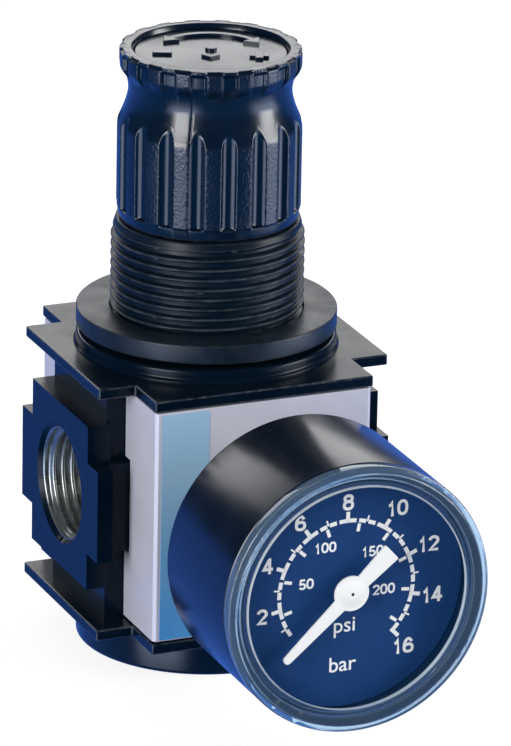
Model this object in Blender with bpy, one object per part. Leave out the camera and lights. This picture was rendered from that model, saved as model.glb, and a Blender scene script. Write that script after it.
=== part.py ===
"""Air pressure regulator with a push-pull adjusting knob, panel thread and back-connected gauge.

Metres, +Z up. The origin is the centre of the bottom cap's underside, the ports lie along X
and the gauge faces -Y. Every piece is its own object.
"""

import math

import bmesh
import bpy
from mathutils import Matrix, Vector

# Clearances: between pieces that seat on each other, and of small shafts and seals that run.
GAP = 0.0003
RUN = 0.0001

# Facets round large, medium and small circles, and points a turn on a coil.
FINE = 40
MEDIUM = 24
SMALL = 10
COIL = 9

# Bottom cap
CAP_R = 0.0237
CAP_H = 0.0081
CAP_EDGE = 0.0007
SPIGOT_R = 0.0127
SPIGOT_H = 0.0076
RING_WIRE = 0.0015

# Casting: two flange plates, the bay between them, the core and the port flanges
PLATE_T = 0.0021
PLATE_HALF_X = 0.0287
PLATE_HALF_Y = 0.0286
FRONT_HALF_X = 0.02155
TAB_HALF_Y = 0.01875
BAY_H = 0.0452
CORE_HALF_X = 0.0250
CORE_HALF_Y = 0.0132
NECK_HALF_Y = 0.0156
EDGE_ROUND = 0.0004
COLLAR_R = 0.02425
COLLAR_H = 0.0025
COLLAR_FOOT = 0.0008
COLUMN_WALL = 0.0022
PORT_Z = 0.0330
PORT_FACE_X = 0.0290
PORT_BORE_R = 0.0095
PORT_MOUTH_R = 0.0108
PORT_DEPTH = 0.0150
FLANGE_TALL_HALF_Y = 0.0141
FLANGE_TALL_HALF_Z = 0.0160
FLANGE_WIDE_HALF_Y = 0.0193
FLANGE_WIDE_HALF_Z = 0.0089
FLANGE_T = 0.0030
CHAMBER_R = 0.0085
SEAT_HOLE_R = 0.0055
SEAT_WEB = 0.0035
SEAT_DROP = 0.0020
PASSAGE_R = 0.0033
PASSAGE_WALL = 0.0003
GAUGE_PORT_R = 0.0066
GAUGE_PORT_DEPTH = 0.0107
GAUGE_BOSS_R = 0.0095
GAUGE_BOSS_SETBACK = 0.0042
SENSE_HOLE_R = 0.0012

# Covers over the front and back of the bay
COVER_WALL = 0.0016
COVER_SETBACK = 0.0002
COVER_CHAMFER = 0.00115
COVER_HOLE_R = 0.0098

# Valve and diaphragm
STEM_GUIDE_R = 0.0029
STEM_TOP_R = 0.0021
STEM_FOOT_Z = 0.0070
VALVE_FLANGE_R = 0.0069
VALVE_FLANGE_T = 0.0015
VALVE_SEAL_R = 0.0072
VALVE_SEAL_T = 0.0020
VALVE_LIFT = 0.0015
VALVE_SPRING_R = 0.0056
VALVE_SPRING_WIRE = 0.0009
VALVE_SPRING_TURNS = 6
DIAPHRAGM_R = 0.0187
DIAPHRAGM_T = 0.0012
DIAPHRAGM_RISE = 0.0145
DIAPHRAGM_HOLE_R = 0.0040
ROLL_R = 0.0010
ROLL_AT_R = 0.0145
SENSE_CHAMBER_R = 0.0150
SENSE_CHAMBER_H = 0.0045
HUB_R = 0.0090
HUB_T = 0.0016
HUB_RELIEF_R = 0.0014
HUB_HEAD = 0.0008
SPRING_PLATE_R = 0.0126
SPRING_PLATE_T = 0.0020
SPRING_PLATE_BOSS_R = 0.0076
SPRING_PLATE_BOSS_H = 0.0015

# Bonnet, adjusting screw and main spring
THREAD_R = 0.0180
BONNET_H = 0.0330
BONNET_BORE_R = 0.0146
BONNET_ROOF = 0.0037
BONNET_EDGE = 0.0010
BONNET_CLAMP = 0.0020
SLOT_DEPTH = 0.0013
SLOT_W = 0.0040
SPRING_NUT_T = 0.0045
SPRING_NUT_BOSS_H = 0.0018
SCREW_R = 0.00475
SCREW_PITCH = 0.0015
SCREW_TURNS = 5
SCREW_TAIL = 0.0080
SPINDLE_NECK_R = 0.0051
SPINDLE_COLLAR_R = 0.0084
SPINDLE_COLLAR_T = 0.0024
WASHER_T = 0.0007
DRIVE_ACROSS = 0.0080
MAIN_SPRING_R = 0.0104
MAIN_SPRING_WIRE = 0.0018
MAIN_SPRING_TURNS = 5

# Panel nut
NUT_R = 0.02427
NUT_T = 0.00355
NUT_LIFT = 0.0012
NUT_EDGE = 0.0003
NUT_LEAD = 0.0012

# Adjusting knob: outer form from the bonnet upwards
KNOB_LIFT = 0.0007
KNOB_H = 0.0319
KNOB_TRAVEL = 0.0030
KNOB_RIBS = 18
KNOB_RIB_SHARE = 0.54
KNOB_FLANK_SHARE = 0.07
KNOB_SKIRT_R = 0.0171
KNOB_GROOVE = 0.0009
KNOB_BAND_R = 0.0165
KNOB_BAND_H = 0.0025
KNOB_FOOT_R = 0.0158
KNOB_RIB_H = 0.0168
KNOB_WAIST_R = 0.0151
KNOB_WAIST_DROP = 0.0066
KNOB_CROWN_R = 0.01684
KNOB_CROWN_H = 0.0030
KNOB_CROWN_GROOVE = 0.0006
KNOB_CROWN_EDGE = 0.0003
KNOB_PAD_DROP = 0.0009
KNOB_PAD_START = 0.6
KNOB_WALL = 0.0018
KNOB_SOCKET_R = 0.0078
KNOB_SOCKET_H = 0.0170
KNOB_SOCKET_RISE = 0.0045
KNOB_CAP_R = 0.0139
KNOB_CAP_T = 0.0017
KNOB_CAP_DEPTH = 0.0009
CLIP_R = 0.0064
CLIP_T = 0.0009

# Gauge, along its own axis from the body's centre plane forwards
STEM_THREAD_R = 0.0063
STEM_THREAD_H = 0.0097
STEM_HEX_ACROSS = 0.0140
STEM_HEX_H = 0.0084
STEM_SHANK_R = 0.0065
STEM_NECK_R = 0.0049
STEM_BORE_R = 0.0013
SEAL_T = 0.0013
SEAL_R = 0.0089
CASE_STANDOFF = 0.0147
CASE_R = 0.0252
CASE_H = 0.0279
CASE_WALL = 0.0036
CASE_BACK_T = 0.0015
CASE_ROUND = 0.0014
DIAL_SEAT_DEPTH = 0.0054
DIAL_RIM = 0.0013
DIAL_T = 0.0006
LENS_H = 0.0023
LENS_STEP_H = 0.0011
LENS_STEP = 0.0016
LENS_BEVEL = 0.0004
LENS_PANE = 0.0016
LENS_SKIRT_H = 0.0044
LENS_SKIRT_WALL = 0.0018
BLOCK_HALF = 0.0055
BLOCK_H = 0.0071
ARM_HALF_W = 0.0020
TUBE_R = 0.0150
TUBE_W = 0.0044
TUBE_T = 0.0016
TUBE_START_DEG = 190.0
TUBE_SWEEP_DEG = 240.0
TUBE_STEPS = 24
MOVEMENT_PLATE_T = 0.0010
MOVEMENT_SPACE = 0.0070
MOVEMENT_CORNER_R = 0.0026
PILLAR_R = 0.0011
UPPER_PILLAR_X = -0.0030
UPPER_PILLAR_Y = 0.0030
LOWER_PILLAR_X = 0.0034
LOWER_PILLAR_Y = -0.0119
ARBOR_R = 0.0007
GEAR_MODULE = 0.00025
PINION_TEETH = 10
SECTOR_TEETH = 80
SECTOR_ARC_TEETH = 11
MESH_PLAY = 0.00012
TOOTH_ADDENDUM = 0.8
TOOTH_DEDENDUM = 1.1
TOOTH_ROOT_SHARE = 0.32
TOOTH_TIP_SHARE = 0.10
SECTOR_BEARING_DEG = 135.0
SECTOR_T = 0.0012
SECTOR_RISE = 0.0028
SECTOR_HUB_R = 0.0013
TAIL_REACH = 0.0050
LINK_T = 0.0008
LINK_EYE_R = 0.0011
LINK_PIN_R = 0.00045
POINTER_RISE = 0.0021
POINTER_T = 0.0006
POINTER_HUB_R = 0.0033
POINTER_REACH = 0.0173
POINTER_TAIL = 0.0104
POINTER_ROOT_HALF = 0.0013
POINTER_TIP_HALF = 0.00075
POINTER_TAIL_ROOT_HALF = 0.00135
POINTER_TAIL_END_HALF = 0.00185
POINTER_ZERO_DEG = -132.5

# Rear gauge-port plug
PLUG_HEAD_R = 0.0086
PLUG_HEAD_T = 0.0025
PLUG_SOCKET_ACROSS = 0.0060
PLUG_SOCKET_DEPTH = 0.0040

# Heights that follow from the sizes above
PLATE_LOW_Z = CAP_H + GAP
BAY_LOW_Z = PLATE_LOW_Z + PLATE_T
BAY_TOP_Z = BAY_LOW_Z + BAY_H
PLATE_TOP_Z = BAY_TOP_Z + PLATE_T
COLLAR_TOP_Z = PLATE_TOP_Z + COLLAR_H
CAP_TOP_Z = CAP_H + SPIGOT_H
SEAT_LOW_Z = PORT_Z - SEAT_DROP
SEAT_TOP_Z = SEAT_LOW_Z + SEAT_WEB
LEDGE_Z = PORT_Z + DIAPHRAGM_RISE
DIAPHRAGM_LOW_Z = LEDGE_Z + GAP
DIAPHRAGM_TOP_Z = DIAPHRAGM_LOW_Z + DIAPHRAGM_T
HUB_LOW_Z = LEDGE_Z - HUB_T
STEM_TOP_Z = HUB_LOW_Z - GAP
VALVE_SEAL_LOW_Z = SEAT_LOW_Z - GAP - VALVE_SEAL_T
VALVE_FLANGE_TOP_Z = VALVE_SEAL_LOW_Z - GAP
VALVE_FLANGE_LOW_Z = VALVE_FLANGE_TOP_Z - VALVE_FLANGE_T
CLAMP_Z = DIAPHRAGM_TOP_Z + GAP
SPRING_SEAT_Z = CLAMP_Z + SPRING_PLATE_T
BONNET_TOP_Z = CLAMP_Z + BONNET_H
ROOF_Z = BONNET_TOP_Z - BONNET_ROOF
SPINDLE_COLLAR_TOP_Z = ROOF_Z - WASHER_T - 2 * GAP
SPINDLE_COLLAR_LOW_Z = SPINDLE_COLLAR_TOP_Z - SPINDLE_COLLAR_T
SPRING_NUT_TOP_Z = SPINDLE_COLLAR_LOW_Z - GAP
SPRING_NUT_LOW_Z = SPRING_NUT_TOP_Z - SPRING_NUT_T
NUT_LOW_Z = COLLAR_TOP_Z + NUT_LIFT
KNOB_LOW_Z = BONNET_TOP_Z + KNOB_LIFT
KNOB_TOP_Z = KNOB_LOW_Z + KNOB_H
SOCKET_LOW_Z = KNOB_LOW_Z + KNOB_SOCKET_RISE
SOCKET_TOP_Z = SOCKET_LOW_Z + KNOB_SOCKET_H
CLIP_LOW_Z = SOCKET_TOP_Z + KNOB_TRAVEL + GAP
KNOB_CAP_TOP_Z = KNOB_TOP_Z - KNOB_CAP_DEPTH
KNOB_CAP_LOW_Z = KNOB_CAP_TOP_Z - KNOB_CAP_T

# Radii and reaches that follow
CAP_BORE_R = SPIGOT_R + GAP
DIAPHRAGM_BORE_R = DIAPHRAGM_R + GAP
COLUMN_R = DIAPHRAGM_BORE_R + COLUMN_WALL
COVER_HALF_X = FRONT_HALF_X - COVER_SETBACK
COVER_FRONT = PLATE_HALF_Y - COVER_SETBACK
BOSS_END = COVER_FRONT - GAUGE_BOSS_SETBACK
GAUGE_PORT_FLOOR = BOSS_END - GAUGE_PORT_DEPTH
SLOT_R = BONNET_BORE_R + SLOT_DEPTH
SPRING_NUT_R = BONNET_BORE_R - GAP
SPRING_NUT_LUG_R = SLOT_R - GAP
SPRING_NUT_LUG_W = SLOT_W - 2 * GAP
DRIVE_R = DRIVE_ACROSS / math.sqrt(3)
SEAL_BACK = BOSS_END + GAP
HEX_BACK = SEAL_BACK + SEAL_T + GAP
CASE_BACK = COVER_FRONT + CASE_STANDOFF
CASE_INSIDE = CASE_BACK + CASE_BACK_T
CASE_FRONT = CASE_BACK + CASE_H
CASE_BORE_R = CASE_R - CASE_WALL
DIAL_SEAT_R = CASE_BORE_R + DIAL_RIM
DIAL_BACK = CASE_FRONT - DIAL_SEAT_DEPTH + GAP
DIAL_FRONT = DIAL_BACK + DIAL_T
LENS_R = CASE_R
LENS_BACK = CASE_FRONT + GAP
LENS_FRONT = LENS_BACK + LENS_H
LENS_SKIRT_R = DIAL_SEAT_R - GAP
WINDOW_R = LENS_SKIRT_R - LENS_SKIRT_WALL
BLOCK_BACK = CASE_INSIDE + GAP
BLOCK_FRONT = BLOCK_BACK + BLOCK_H
PLATE_1 = BLOCK_FRONT + GAP
PLATE_2 = PLATE_1 + MOVEMENT_PLATE_T + MOVEMENT_SPACE
MOVEMENT_FRONT = PLATE_2 + MOVEMENT_PLATE_T
SECTOR_BACK = PLATE_1 + MOVEMENT_PLATE_T + SECTOR_RISE
SECTOR_FRONT = SECTOR_BACK + SECTOR_T
LINK_BACK = SECTOR_FRONT + GAP
POINTER_BACK = DIAL_FRONT + POINTER_RISE
POINTER_FRONT = POINTER_BACK + POINTER_T
PINION_R = GEAR_MODULE * PINION_TEETH / 2
SECTOR_R = GEAR_MODULE * SECTOR_TEETH / 2
GEAR_CENTRES = PINION_R + SECTOR_R + MESH_PLAY
SECTOR_PITCH = 2 * math.pi / SECTOR_TEETH
SECTOR_BEARING = math.radians(SECTOR_BEARING_DEG)
SECTOR_PIVOT = -GEAR_CENTRES * Vector((math.cos(SECTOR_BEARING), math.sin(SECTOR_BEARING)))
TAIL_ANGLE = SECTOR_BEARING - SECTOR_ARC_TEETH / 2 * SECTOR_PITCH + math.pi
TAIL_PIN = SECTOR_PIVOT + TAIL_REACH * Vector((math.cos(TAIL_ANGLE), math.sin(TAIL_ANGLE)))
TUBE_TIP_DEG = TUBE_START_DEG + TUBE_SWEEP_DEG

# Finish of each material: colour, roughness, metallic
FINISHES = {
    "black_paint": ((0.012, 0.014, 0.022), 0.32, 0.0),
    "silver": ((0.60, 0.60, 0.66), 0.42, 0.6),
    "matte_black": ((0.020, 0.022, 0.030), 0.55, 0.0),
    "gloss_black": ((0.010, 0.012, 0.020), 0.22, 0.0),
    "rubber": ((0.015, 0.015, 0.016), 0.75, 0.0),
    "brass": ((0.66, 0.47, 0.20), 0.32, 1.0),
    "steel": ((0.55, 0.56, 0.58), 0.30, 1.0),
    "dial_print": ((0.012, 0.018, 0.060), 0.50, 0.0),
    "pointer_white": ((0.85, 0.85, 0.85), 0.45, 0.0),
    "clear": ((0.90, 0.94, 0.98), 0.05, 0.0),
}


def give_finish(obj, finish):
    colour, roughness, metallic = FINISHES[finish]
    material = bpy.data.materials.new(obj.name + "_" + finish)
    material.use_nodes = True
    shader = material.node_tree.nodes["Principled BSDF"]
    shader.inputs["Base Color"].default_value = (*colour, 1.0)
    shader.inputs["Roughness"].default_value = roughness
    shader.inputs["Metallic"].default_value = metallic
    if finish == "clear":
        shader.inputs["Transmission Weight"].default_value = 1.0
    obj.data.materials.append(material)


def make_object(name, bm, finish, parent, place=(0.0, 0.0, 0.0)):
    """One finished piece from a bmesh, shaded smooth across its round faces."""
    bmesh.ops.recalc_face_normals(bm, faces=bm.faces)
    mesh = bpy.data.meshes.new(name)
    bm.to_mesh(mesh)
    bm.free()
    obj = bpy.data.objects.new(name, mesh)
    bpy.context.scene.collection.objects.link(obj)
    obj.parent = parent
    obj.location = place
    mesh.shade_smooth()
    mesh.set_sharp_from_angle(angle=math.radians(32))
    give_finish(obj, finish)
    return obj


def make_helper(name, bm, parent, place=(0.0, 0.0, 0.0)):
    """A shape that only joins or cuts another piece."""
    helper = make_object("helper_" + name, bm, "steel", parent, place)
    helper.hide_render = True
    helper.display_type = "WIRE"
    return helper


def combine(target, helper, operation):
    modifier = target.modifiers.new(operation.lower() + "_" + helper.name, "BOOLEAN")
    modifier.operation = operation
    modifier.object = helper
    modifier.solver = "EXACT"


def turned(profile, steps, closed=False):
    """A profile of (radius, height) turned about the local Z axis. An open profile ends on the axis."""
    bm = bmesh.new()
    points = [bm.verts.new((radius, 0.0, height)) for radius, height in profile]
    pairs = list(zip(points, points[1:]))
    if closed:
        pairs.append((points[-1], points[0]))
    edges = [bm.edges.new(pair) for pair in pairs]
    bmesh.ops.spin(
        bm, geom=points + edges, cent=(0, 0, 0), axis=(0, 0, 1), angle=2 * math.pi, steps=steps,
        use_merge=True,
    )
    bmesh.ops.remove_doubles(bm, verts=bm.verts, dist=1e-7)
    return bm


def rod(radius, low, high):
    """The profile of a plain round bar."""
    return [(0, low), (radius, low), (radius, high), (0, high)]


def sleeve(inner, outer, low, high):
    """The closed profile of a plain ring."""
    return [(inner, low), (outer, low), (outer, high), (inner, high)]


def borer(profile, steps):
    """A turned cutter, set half a facet round so that its edges miss the spokes of a turned piece."""
    return turn_mesh(turned(profile, steps), "Z", math.pi / steps)


def prism(outline, low, high):
    """A flat outline in X and Y carried up from one height to another."""
    bm = bmesh.new()
    face = bm.faces.new([bm.verts.new((x, y, low)) for x, y in outline])
    pulled = bmesh.ops.extrude_face_region(bm, geom=[face])
    moved = [item for item in pulled["geom"] if isinstance(item, bmesh.types.BMVert)]
    bmesh.ops.translate(bm, verts=moved, vec=(0, 0, high - low))
    return bm


def block(low, high):
    outline = [(low[0], low[1]), (high[0], low[1]), (high[0], high[1]), (low[0], high[1])]
    return prism(outline, low[2], high[2])


def soften(bm, width, segments=1):
    """Rounds every edge of a shape made of flat faces."""
    bmesh.ops.recalc_face_normals(bm, faces=bm.faces)
    sharp = [edge for edge in bm.edges if edge.calc_face_angle(0.0) > math.radians(20)]
    bmesh.ops.bevel(bm, geom=sharp, offset=width, segments=segments, affect="EDGES", clamp_overlap=True)
    return bm


def polygon(sides, radius, turn=0.0):
    step = 2 * math.pi / sides
    return [(radius * math.cos(turn + i * step), radius * math.sin(turn + i * step)) for i in range(sides)]


def arc(centre, radius, start, end, steps):
    """Points on an arc, with both ends."""
    angles = [start + (end - start) * i / steps for i in range(steps + 1)]
    return [(centre[0] + radius * math.cos(a), centre[1] + radius * math.sin(a)) for a in angles]


def turn_mesh(bm, axis, angle):
    bmesh.ops.rotate(bm, verts=bm.verts, cent=(0, 0, 0), matrix=Matrix.Rotation(angle, 3, axis))
    return bm


def shift_mesh(bm, vector):
    bmesh.ops.translate(bm, verts=bm.verts, vec=vector)
    return bm


def make_empty(name, parent=None, place=(0.0, 0.0, 0.0), turn=(0.0, 0.0, 0.0)):
    empty = bpy.data.objects.new(name, None)
    bpy.context.scene.collection.objects.link(empty)
    empty.parent = parent
    empty.location = place
    empty.rotation_euler = turn
    return empty


def plate_outline():
    """A square plate with its four corners notched, so that a tab stands out over each port."""
    quarter = [
        (PLATE_HALF_X, TAB_HALF_Y),
        (FRONT_HALF_X, TAB_HALF_Y),
        (FRONT_HALF_X, PLATE_HALF_Y),
    ]
    points = list(quarter)
    points += [(-x, y) for x, y in reversed(quarter)]
    points += [(-x, -y) for x, y in quarter]
    points += [(x, -y) for x, y in reversed(quarter)]
    return points


def port_flange(side):
    """The cross-shaped port face: a thin wide bar, and a tall bar that runs back into the core."""
    bm = bmesh.new()
    across = (-FLANGE_WIDE_HALF_Y, -FLANGE_TALL_HALF_Y, FLANGE_TALL_HALF_Y, FLANGE_WIDE_HALF_Y)
    up = (-FLANGE_TALL_HALF_Z, -FLANGE_WIDE_HALF_Z, FLANGE_WIDE_HALF_Z, FLANGE_TALL_HALF_Z)
    grid = {}
    for i, y in enumerate(across):
        for j, z in enumerate(up):
            if i in (1, 2) or j in (1, 2):
                grid[i, j] = bm.verts.new((PORT_FACE_X, y, PORT_Z + z))
    cells = [(1, 0), (1, 1), (1, 2), (0, 1), (2, 1)]
    faces = []
    for i, j in cells:
        corners = [grid[i, j], grid[i + 1, j], grid[i + 1, j + 1], grid[i, j + 1]]
        faces.append(bm.faces.new(corners))
    pulled = bmesh.ops.extrude_face_region(bm, geom=faces)
    back = [item for item in pulled["geom"] if isinstance(item, bmesh.types.BMVert)]
    bmesh.ops.translate(bm, verts=back, vec=(-FLANGE_T, 0, 0))
    tall = [
        item
        for item in pulled["geom"]
        if isinstance(item, bmesh.types.BMFace) and abs(item.calc_center_median().y) < FLANGE_TALL_HALF_Y
    ]
    pulled = bmesh.ops.extrude_face_region(bm, geom=tall)
    back = [item for item in pulled["geom"] if isinstance(item, bmesh.types.BMVert)]
    root = PORT_FACE_X - FLANGE_T - (CORE_HALF_X - FLANGE_T)
    bmesh.ops.translate(bm, verts=back, vec=(-root, 0, 0))
    bmesh.ops.delete(bm, geom=[face for face in tall if face.is_valid], context="FACES_ONLY")
    inner = [edge for edge in bm.edges if not edge.link_faces]
    bmesh.ops.delete(bm, geom=inner, context="EDGES")
    bmesh.ops.dissolve_limit(bm, angle_limit=0.01, verts=bm.verts, edges=bm.edges)
    soften(bm, EDGE_ROUND)
    if side < 0:
        turn_mesh(bm, "Z", math.pi)
    return bm


def make_body(root):
    """The casting. Its bores are cut last: the stepped valve bore, the ports and the gauge ports."""
    middle = PLATE_T / 2
    top_plate = soften(prism(plate_outline(), BAY_TOP_Z, PLATE_TOP_Z), EDGE_ROUND)
    body = make_object("body", top_plate, "black_paint", root)
    joined = {
        "bottom_plate": soften(prism(plate_outline(), PLATE_LOW_Z, BAY_LOW_Z), EDGE_ROUND),
        "core": soften(
            block(
                (-CORE_HALF_X, -CORE_HALF_Y, BAY_LOW_Z - middle),
                (CORE_HALF_X, CORE_HALF_Y, BAY_TOP_Z + middle),
            ),
            EDGE_ROUND,
        ),
        "neck": soften(
            block(
                (-PORT_FACE_X + FLANGE_T / 2, -NECK_HALF_Y, PORT_Z - FLANGE_WIDE_HALF_Z + EDGE_ROUND),
                (PORT_FACE_X - FLANGE_T / 2, NECK_HALF_Y, PORT_Z + FLANGE_WIDE_HALF_Z - EDGE_ROUND),
            ),
            EDGE_ROUND,
        ),
        "left_flange": port_flange(-1),
        "right_flange": port_flange(1),
        "column": turned(
            rod(COLUMN_R, BAY_LOW_Z - middle, BAY_TOP_Z + middle),
            FINE,
        ),
        "collar": turned(
            [
                (0, PLATE_TOP_Z - middle),
                (COLLAR_R + COLLAR_FOOT, PLATE_TOP_Z - middle),
                (COLLAR_R + COLLAR_FOOT, PLATE_TOP_Z),
                (COLLAR_R + COLLAR_FOOT / 4, PLATE_TOP_Z + COLLAR_FOOT / 4),
                (COLLAR_R, PLATE_TOP_Z + COLLAR_FOOT),
                (COLLAR_R, COLLAR_TOP_Z - EDGE_ROUND),
                (COLLAR_R - EDGE_ROUND, COLLAR_TOP_Z),
                (0, COLLAR_TOP_Z),
            ],
            FINE,
        ),
        "gauge_bosses": turn_mesh(
            turned(rod(GAUGE_BOSS_R, -BOSS_END, BOSS_END), MEDIUM),
            "X",
            math.pi / 2,
        ),
    }
    shift_mesh(joined["gauge_bosses"], (0, 0, PORT_Z))
    for name, bm in joined.items():
        combine(body, make_helper(name, bm, root), "UNION")

    past = CAP_R
    port_floor = PORT_FACE_X - PORT_DEPTH
    mouth = PORT_MOUTH_R - PORT_BORE_R
    port_cut = [
        (0, port_floor),
        (PORT_BORE_R, port_floor),
        (PORT_BORE_R, PORT_FACE_X - mouth),
        (PORT_MOUTH_R + mouth, PORT_FACE_X + mouth),
        (0, PORT_FACE_X + mouth),
    ]
    gauge_cut = rod(GAUGE_PORT_R, GAUGE_PORT_FLOOR, past + COLUMN_R)
    inlet_z = SEAT_LOW_Z - PASSAGE_WALL - PASSAGE_R
    outlet_z = SEAT_TOP_Z + PASSAGE_WALL + PASSAGE_R
    reach = port_floor + PASSAGE_R
    start = CHAMBER_R / 3
    passage = rod(PASSAGE_R, start, reach)
    sense_end = GAUGE_PORT_FLOOR + SENSE_HOLE_R
    sense = rod(SENSE_HOLE_R, start, sense_end)
    sense_z = PORT_Z + GAUGE_PORT_R - 2 * SENSE_HOLE_R
    quarter = math.pi / 2
    cuts = {
        "valve_bore": borer(
            [
                (0, PLATE_LOW_Z - past),
                (CAP_BORE_R, PLATE_LOW_Z - past),
                (CAP_BORE_R, CAP_TOP_Z + GAP),
                (CHAMBER_R, CAP_TOP_Z + GAP),
                (CHAMBER_R, SEAT_LOW_Z),
                (SEAT_HOLE_R, SEAT_LOW_Z),
                (SEAT_HOLE_R, SEAT_TOP_Z),
                (CHAMBER_R, SEAT_TOP_Z),
                (CHAMBER_R, LEDGE_Z - SENSE_CHAMBER_H),
                (SENSE_CHAMBER_R, LEDGE_Z - SENSE_CHAMBER_H),
                (SENSE_CHAMBER_R, LEDGE_Z),
                (DIAPHRAGM_BORE_R, LEDGE_Z),
                (DIAPHRAGM_BORE_R, COLLAR_TOP_Z + past),
                (0, COLLAR_TOP_Z + past),
            ],
            FINE,
        ),
        "left_port": shift_mesh(turn_mesh(borer(port_cut, MEDIUM), "Y", -quarter), (0, 0, PORT_Z)),
        "right_port": shift_mesh(turn_mesh(borer(port_cut, MEDIUM), "Y", quarter), (0, 0, PORT_Z)),
        "inlet_passage": shift_mesh(turn_mesh(borer(passage, SMALL), "Y", -quarter), (0, 0, inlet_z)),
        "outlet_passage": shift_mesh(turn_mesh(borer(passage, SMALL), "Y", quarter), (0, 0, outlet_z)),
        "front_gauge_port": shift_mesh(turn_mesh(borer(gauge_cut, MEDIUM), "X", quarter), (0, 0, PORT_Z)),
        "rear_gauge_port": shift_mesh(turn_mesh(borer(gauge_cut, MEDIUM), "X", -quarter), (0, 0, PORT_Z)),
        "front_sense_hole": shift_mesh(turn_mesh(borer(sense, SMALL), "X", quarter), (0, 0, sense_z)),
        "rear_sense_hole": shift_mesh(turn_mesh(borer(sense, SMALL), "X", -quarter), (0, 0, sense_z)),
    }
    for name, bm in cuts.items():
        combine(body, make_helper(name, bm, root), "DIFFERENCE")
    return body


def make_cover(name, facing, root):
    """A U-shaped cover: a flat front with chamfered edges and side returns cut back round the port necks."""
    back = CORE_HALF_Y + GAP
    slope = COVER_WALL * math.tan(math.pi / 8)
    inner_x = COVER_HALF_X - COVER_WALL
    inner_y = COVER_FRONT - COVER_WALL
    half = [
        (COVER_HALF_X, back),
        (COVER_HALF_X, COVER_FRONT - COVER_CHAMFER),
        (COVER_HALF_X - COVER_CHAMFER, COVER_FRONT),
    ]
    inside = [
        (inner_x, back),
        (inner_x, COVER_FRONT - COVER_CHAMFER - slope),
        (COVER_HALF_X - COVER_CHAMFER - slope, inner_y),
    ]
    outline = half + [(-x, y) for x, y in reversed(half)] + inside_loop(inside)
    bm = prism([(x, facing * y) for x, y in outline], BAY_LOW_Z + GAP, BAY_TOP_Z - GAP)
    cover = make_object(name, bm, "silver", root)
    reach = PLATE_HALF_X
    notch = block(
        (-reach, -NECK_HALF_Y - GAP, PORT_Z - FLANGE_WIDE_HALF_Z - GAP),
        (reach, NECK_HALF_Y + GAP, PORT_Z + FLANGE_WIDE_HALF_Z + GAP),
    )
    combine(cover, make_helper(name + "_notch", notch, root), "DIFFERENCE")
    hole = borer(
        rod(COVER_HOLE_R, inner_y - COVER_WALL, COVER_FRONT + COVER_WALL),
        MEDIUM,
    )
    shift_mesh(turn_mesh(hole, "X", -facing * math.pi / 2), (0, 0, PORT_Z))
    combine(cover, make_helper(name + "_hole", hole, root), "DIFFERENCE")
    return cover


def inside_loop(inside):
    """The inner half outline run back from the left end to the right end."""
    return [(-x, y) for x, y in inside] + list(reversed(inside))


def seal_ring(name, inner_r, wire, z, root):
    """A round-section ring whose inner side lies at a given radius."""
    centre = inner_r + wire / 2
    section = arc((centre, z), wire / 2, 0, 2 * math.pi, 6)[:-1]
    return make_object(name, turned(section, MEDIUM, closed=True), "rubber", root)


def make_bottom_cap(root):
    """Turned cap with a spigot, a seal groove, a spring pocket and a blind guide for the valve stem."""
    groove_r = CAP_BORE_R - 2 * RUN - RING_WIRE
    groove_low = CAP_H + SPIGOT_H / 2 - RING_WIRE / 2 - RUN
    groove_top = groove_low + RING_WIRE + 2 * RUN
    guide_r = STEM_GUIDE_R + GAP
    stem_groove_r = STEM_GUIDE_R + 2 * RUN + RING_WIRE
    stem_groove_low = CAP_H - RING_WIRE / 2 - RUN
    stem_groove_top = stem_groove_low + RING_WIRE + 2 * RUN
    pocket_in = VALVE_SPRING_R - VALVE_SPRING_WIRE
    pocket_out = VALVE_SPRING_R + VALVE_SPRING_WIRE
    pocket_z = CAP_TOP_Z - 2 * VALVE_SPRING_WIRE
    floor_z = STEM_FOOT_Z - VALVE_LIFT - GAP
    profile = [
        (0, 0),
        (CAP_R - CAP_EDGE, 0),
        (CAP_R, CAP_EDGE),
        (CAP_R, CAP_H - EDGE_ROUND),
        (CAP_R - EDGE_ROUND, CAP_H),
        (SPIGOT_R, CAP_H),
        (SPIGOT_R, groove_low),
        (groove_r, groove_low),
        (groove_r, groove_top),
        (SPIGOT_R, groove_top),
        (SPIGOT_R, CAP_TOP_Z),
        (pocket_out, CAP_TOP_Z),
        (pocket_out, pocket_z),
        (pocket_in, pocket_z),
        (pocket_in, CAP_TOP_Z),
        (guide_r, CAP_TOP_Z),
        (guide_r, stem_groove_top),
        (stem_groove_r, stem_groove_top),
        (stem_groove_r, stem_groove_low),
        (guide_r, stem_groove_low),
        (guide_r, floor_z),
        (0, floor_z),
    ]
    make_object("bottom_cap", turned(profile, FINE), "black_paint", root)
    seal_ring("cap_o_ring", groove_r + RUN, RING_WIRE, (groove_low + groove_top) / 2, root)
    seal_ring("stem_o_ring", STEM_GUIDE_R + RUN, RING_WIRE, (stem_groove_low + stem_groove_top) / 2, root)
    coil_spring(
        "valve_spring", VALVE_SPRING_R, VALVE_SPRING_WIRE, VALVE_SPRING_TURNS,
        pocket_z + GAP, VALVE_FLANGE_LOW_Z - GAP, root,
    )


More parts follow.
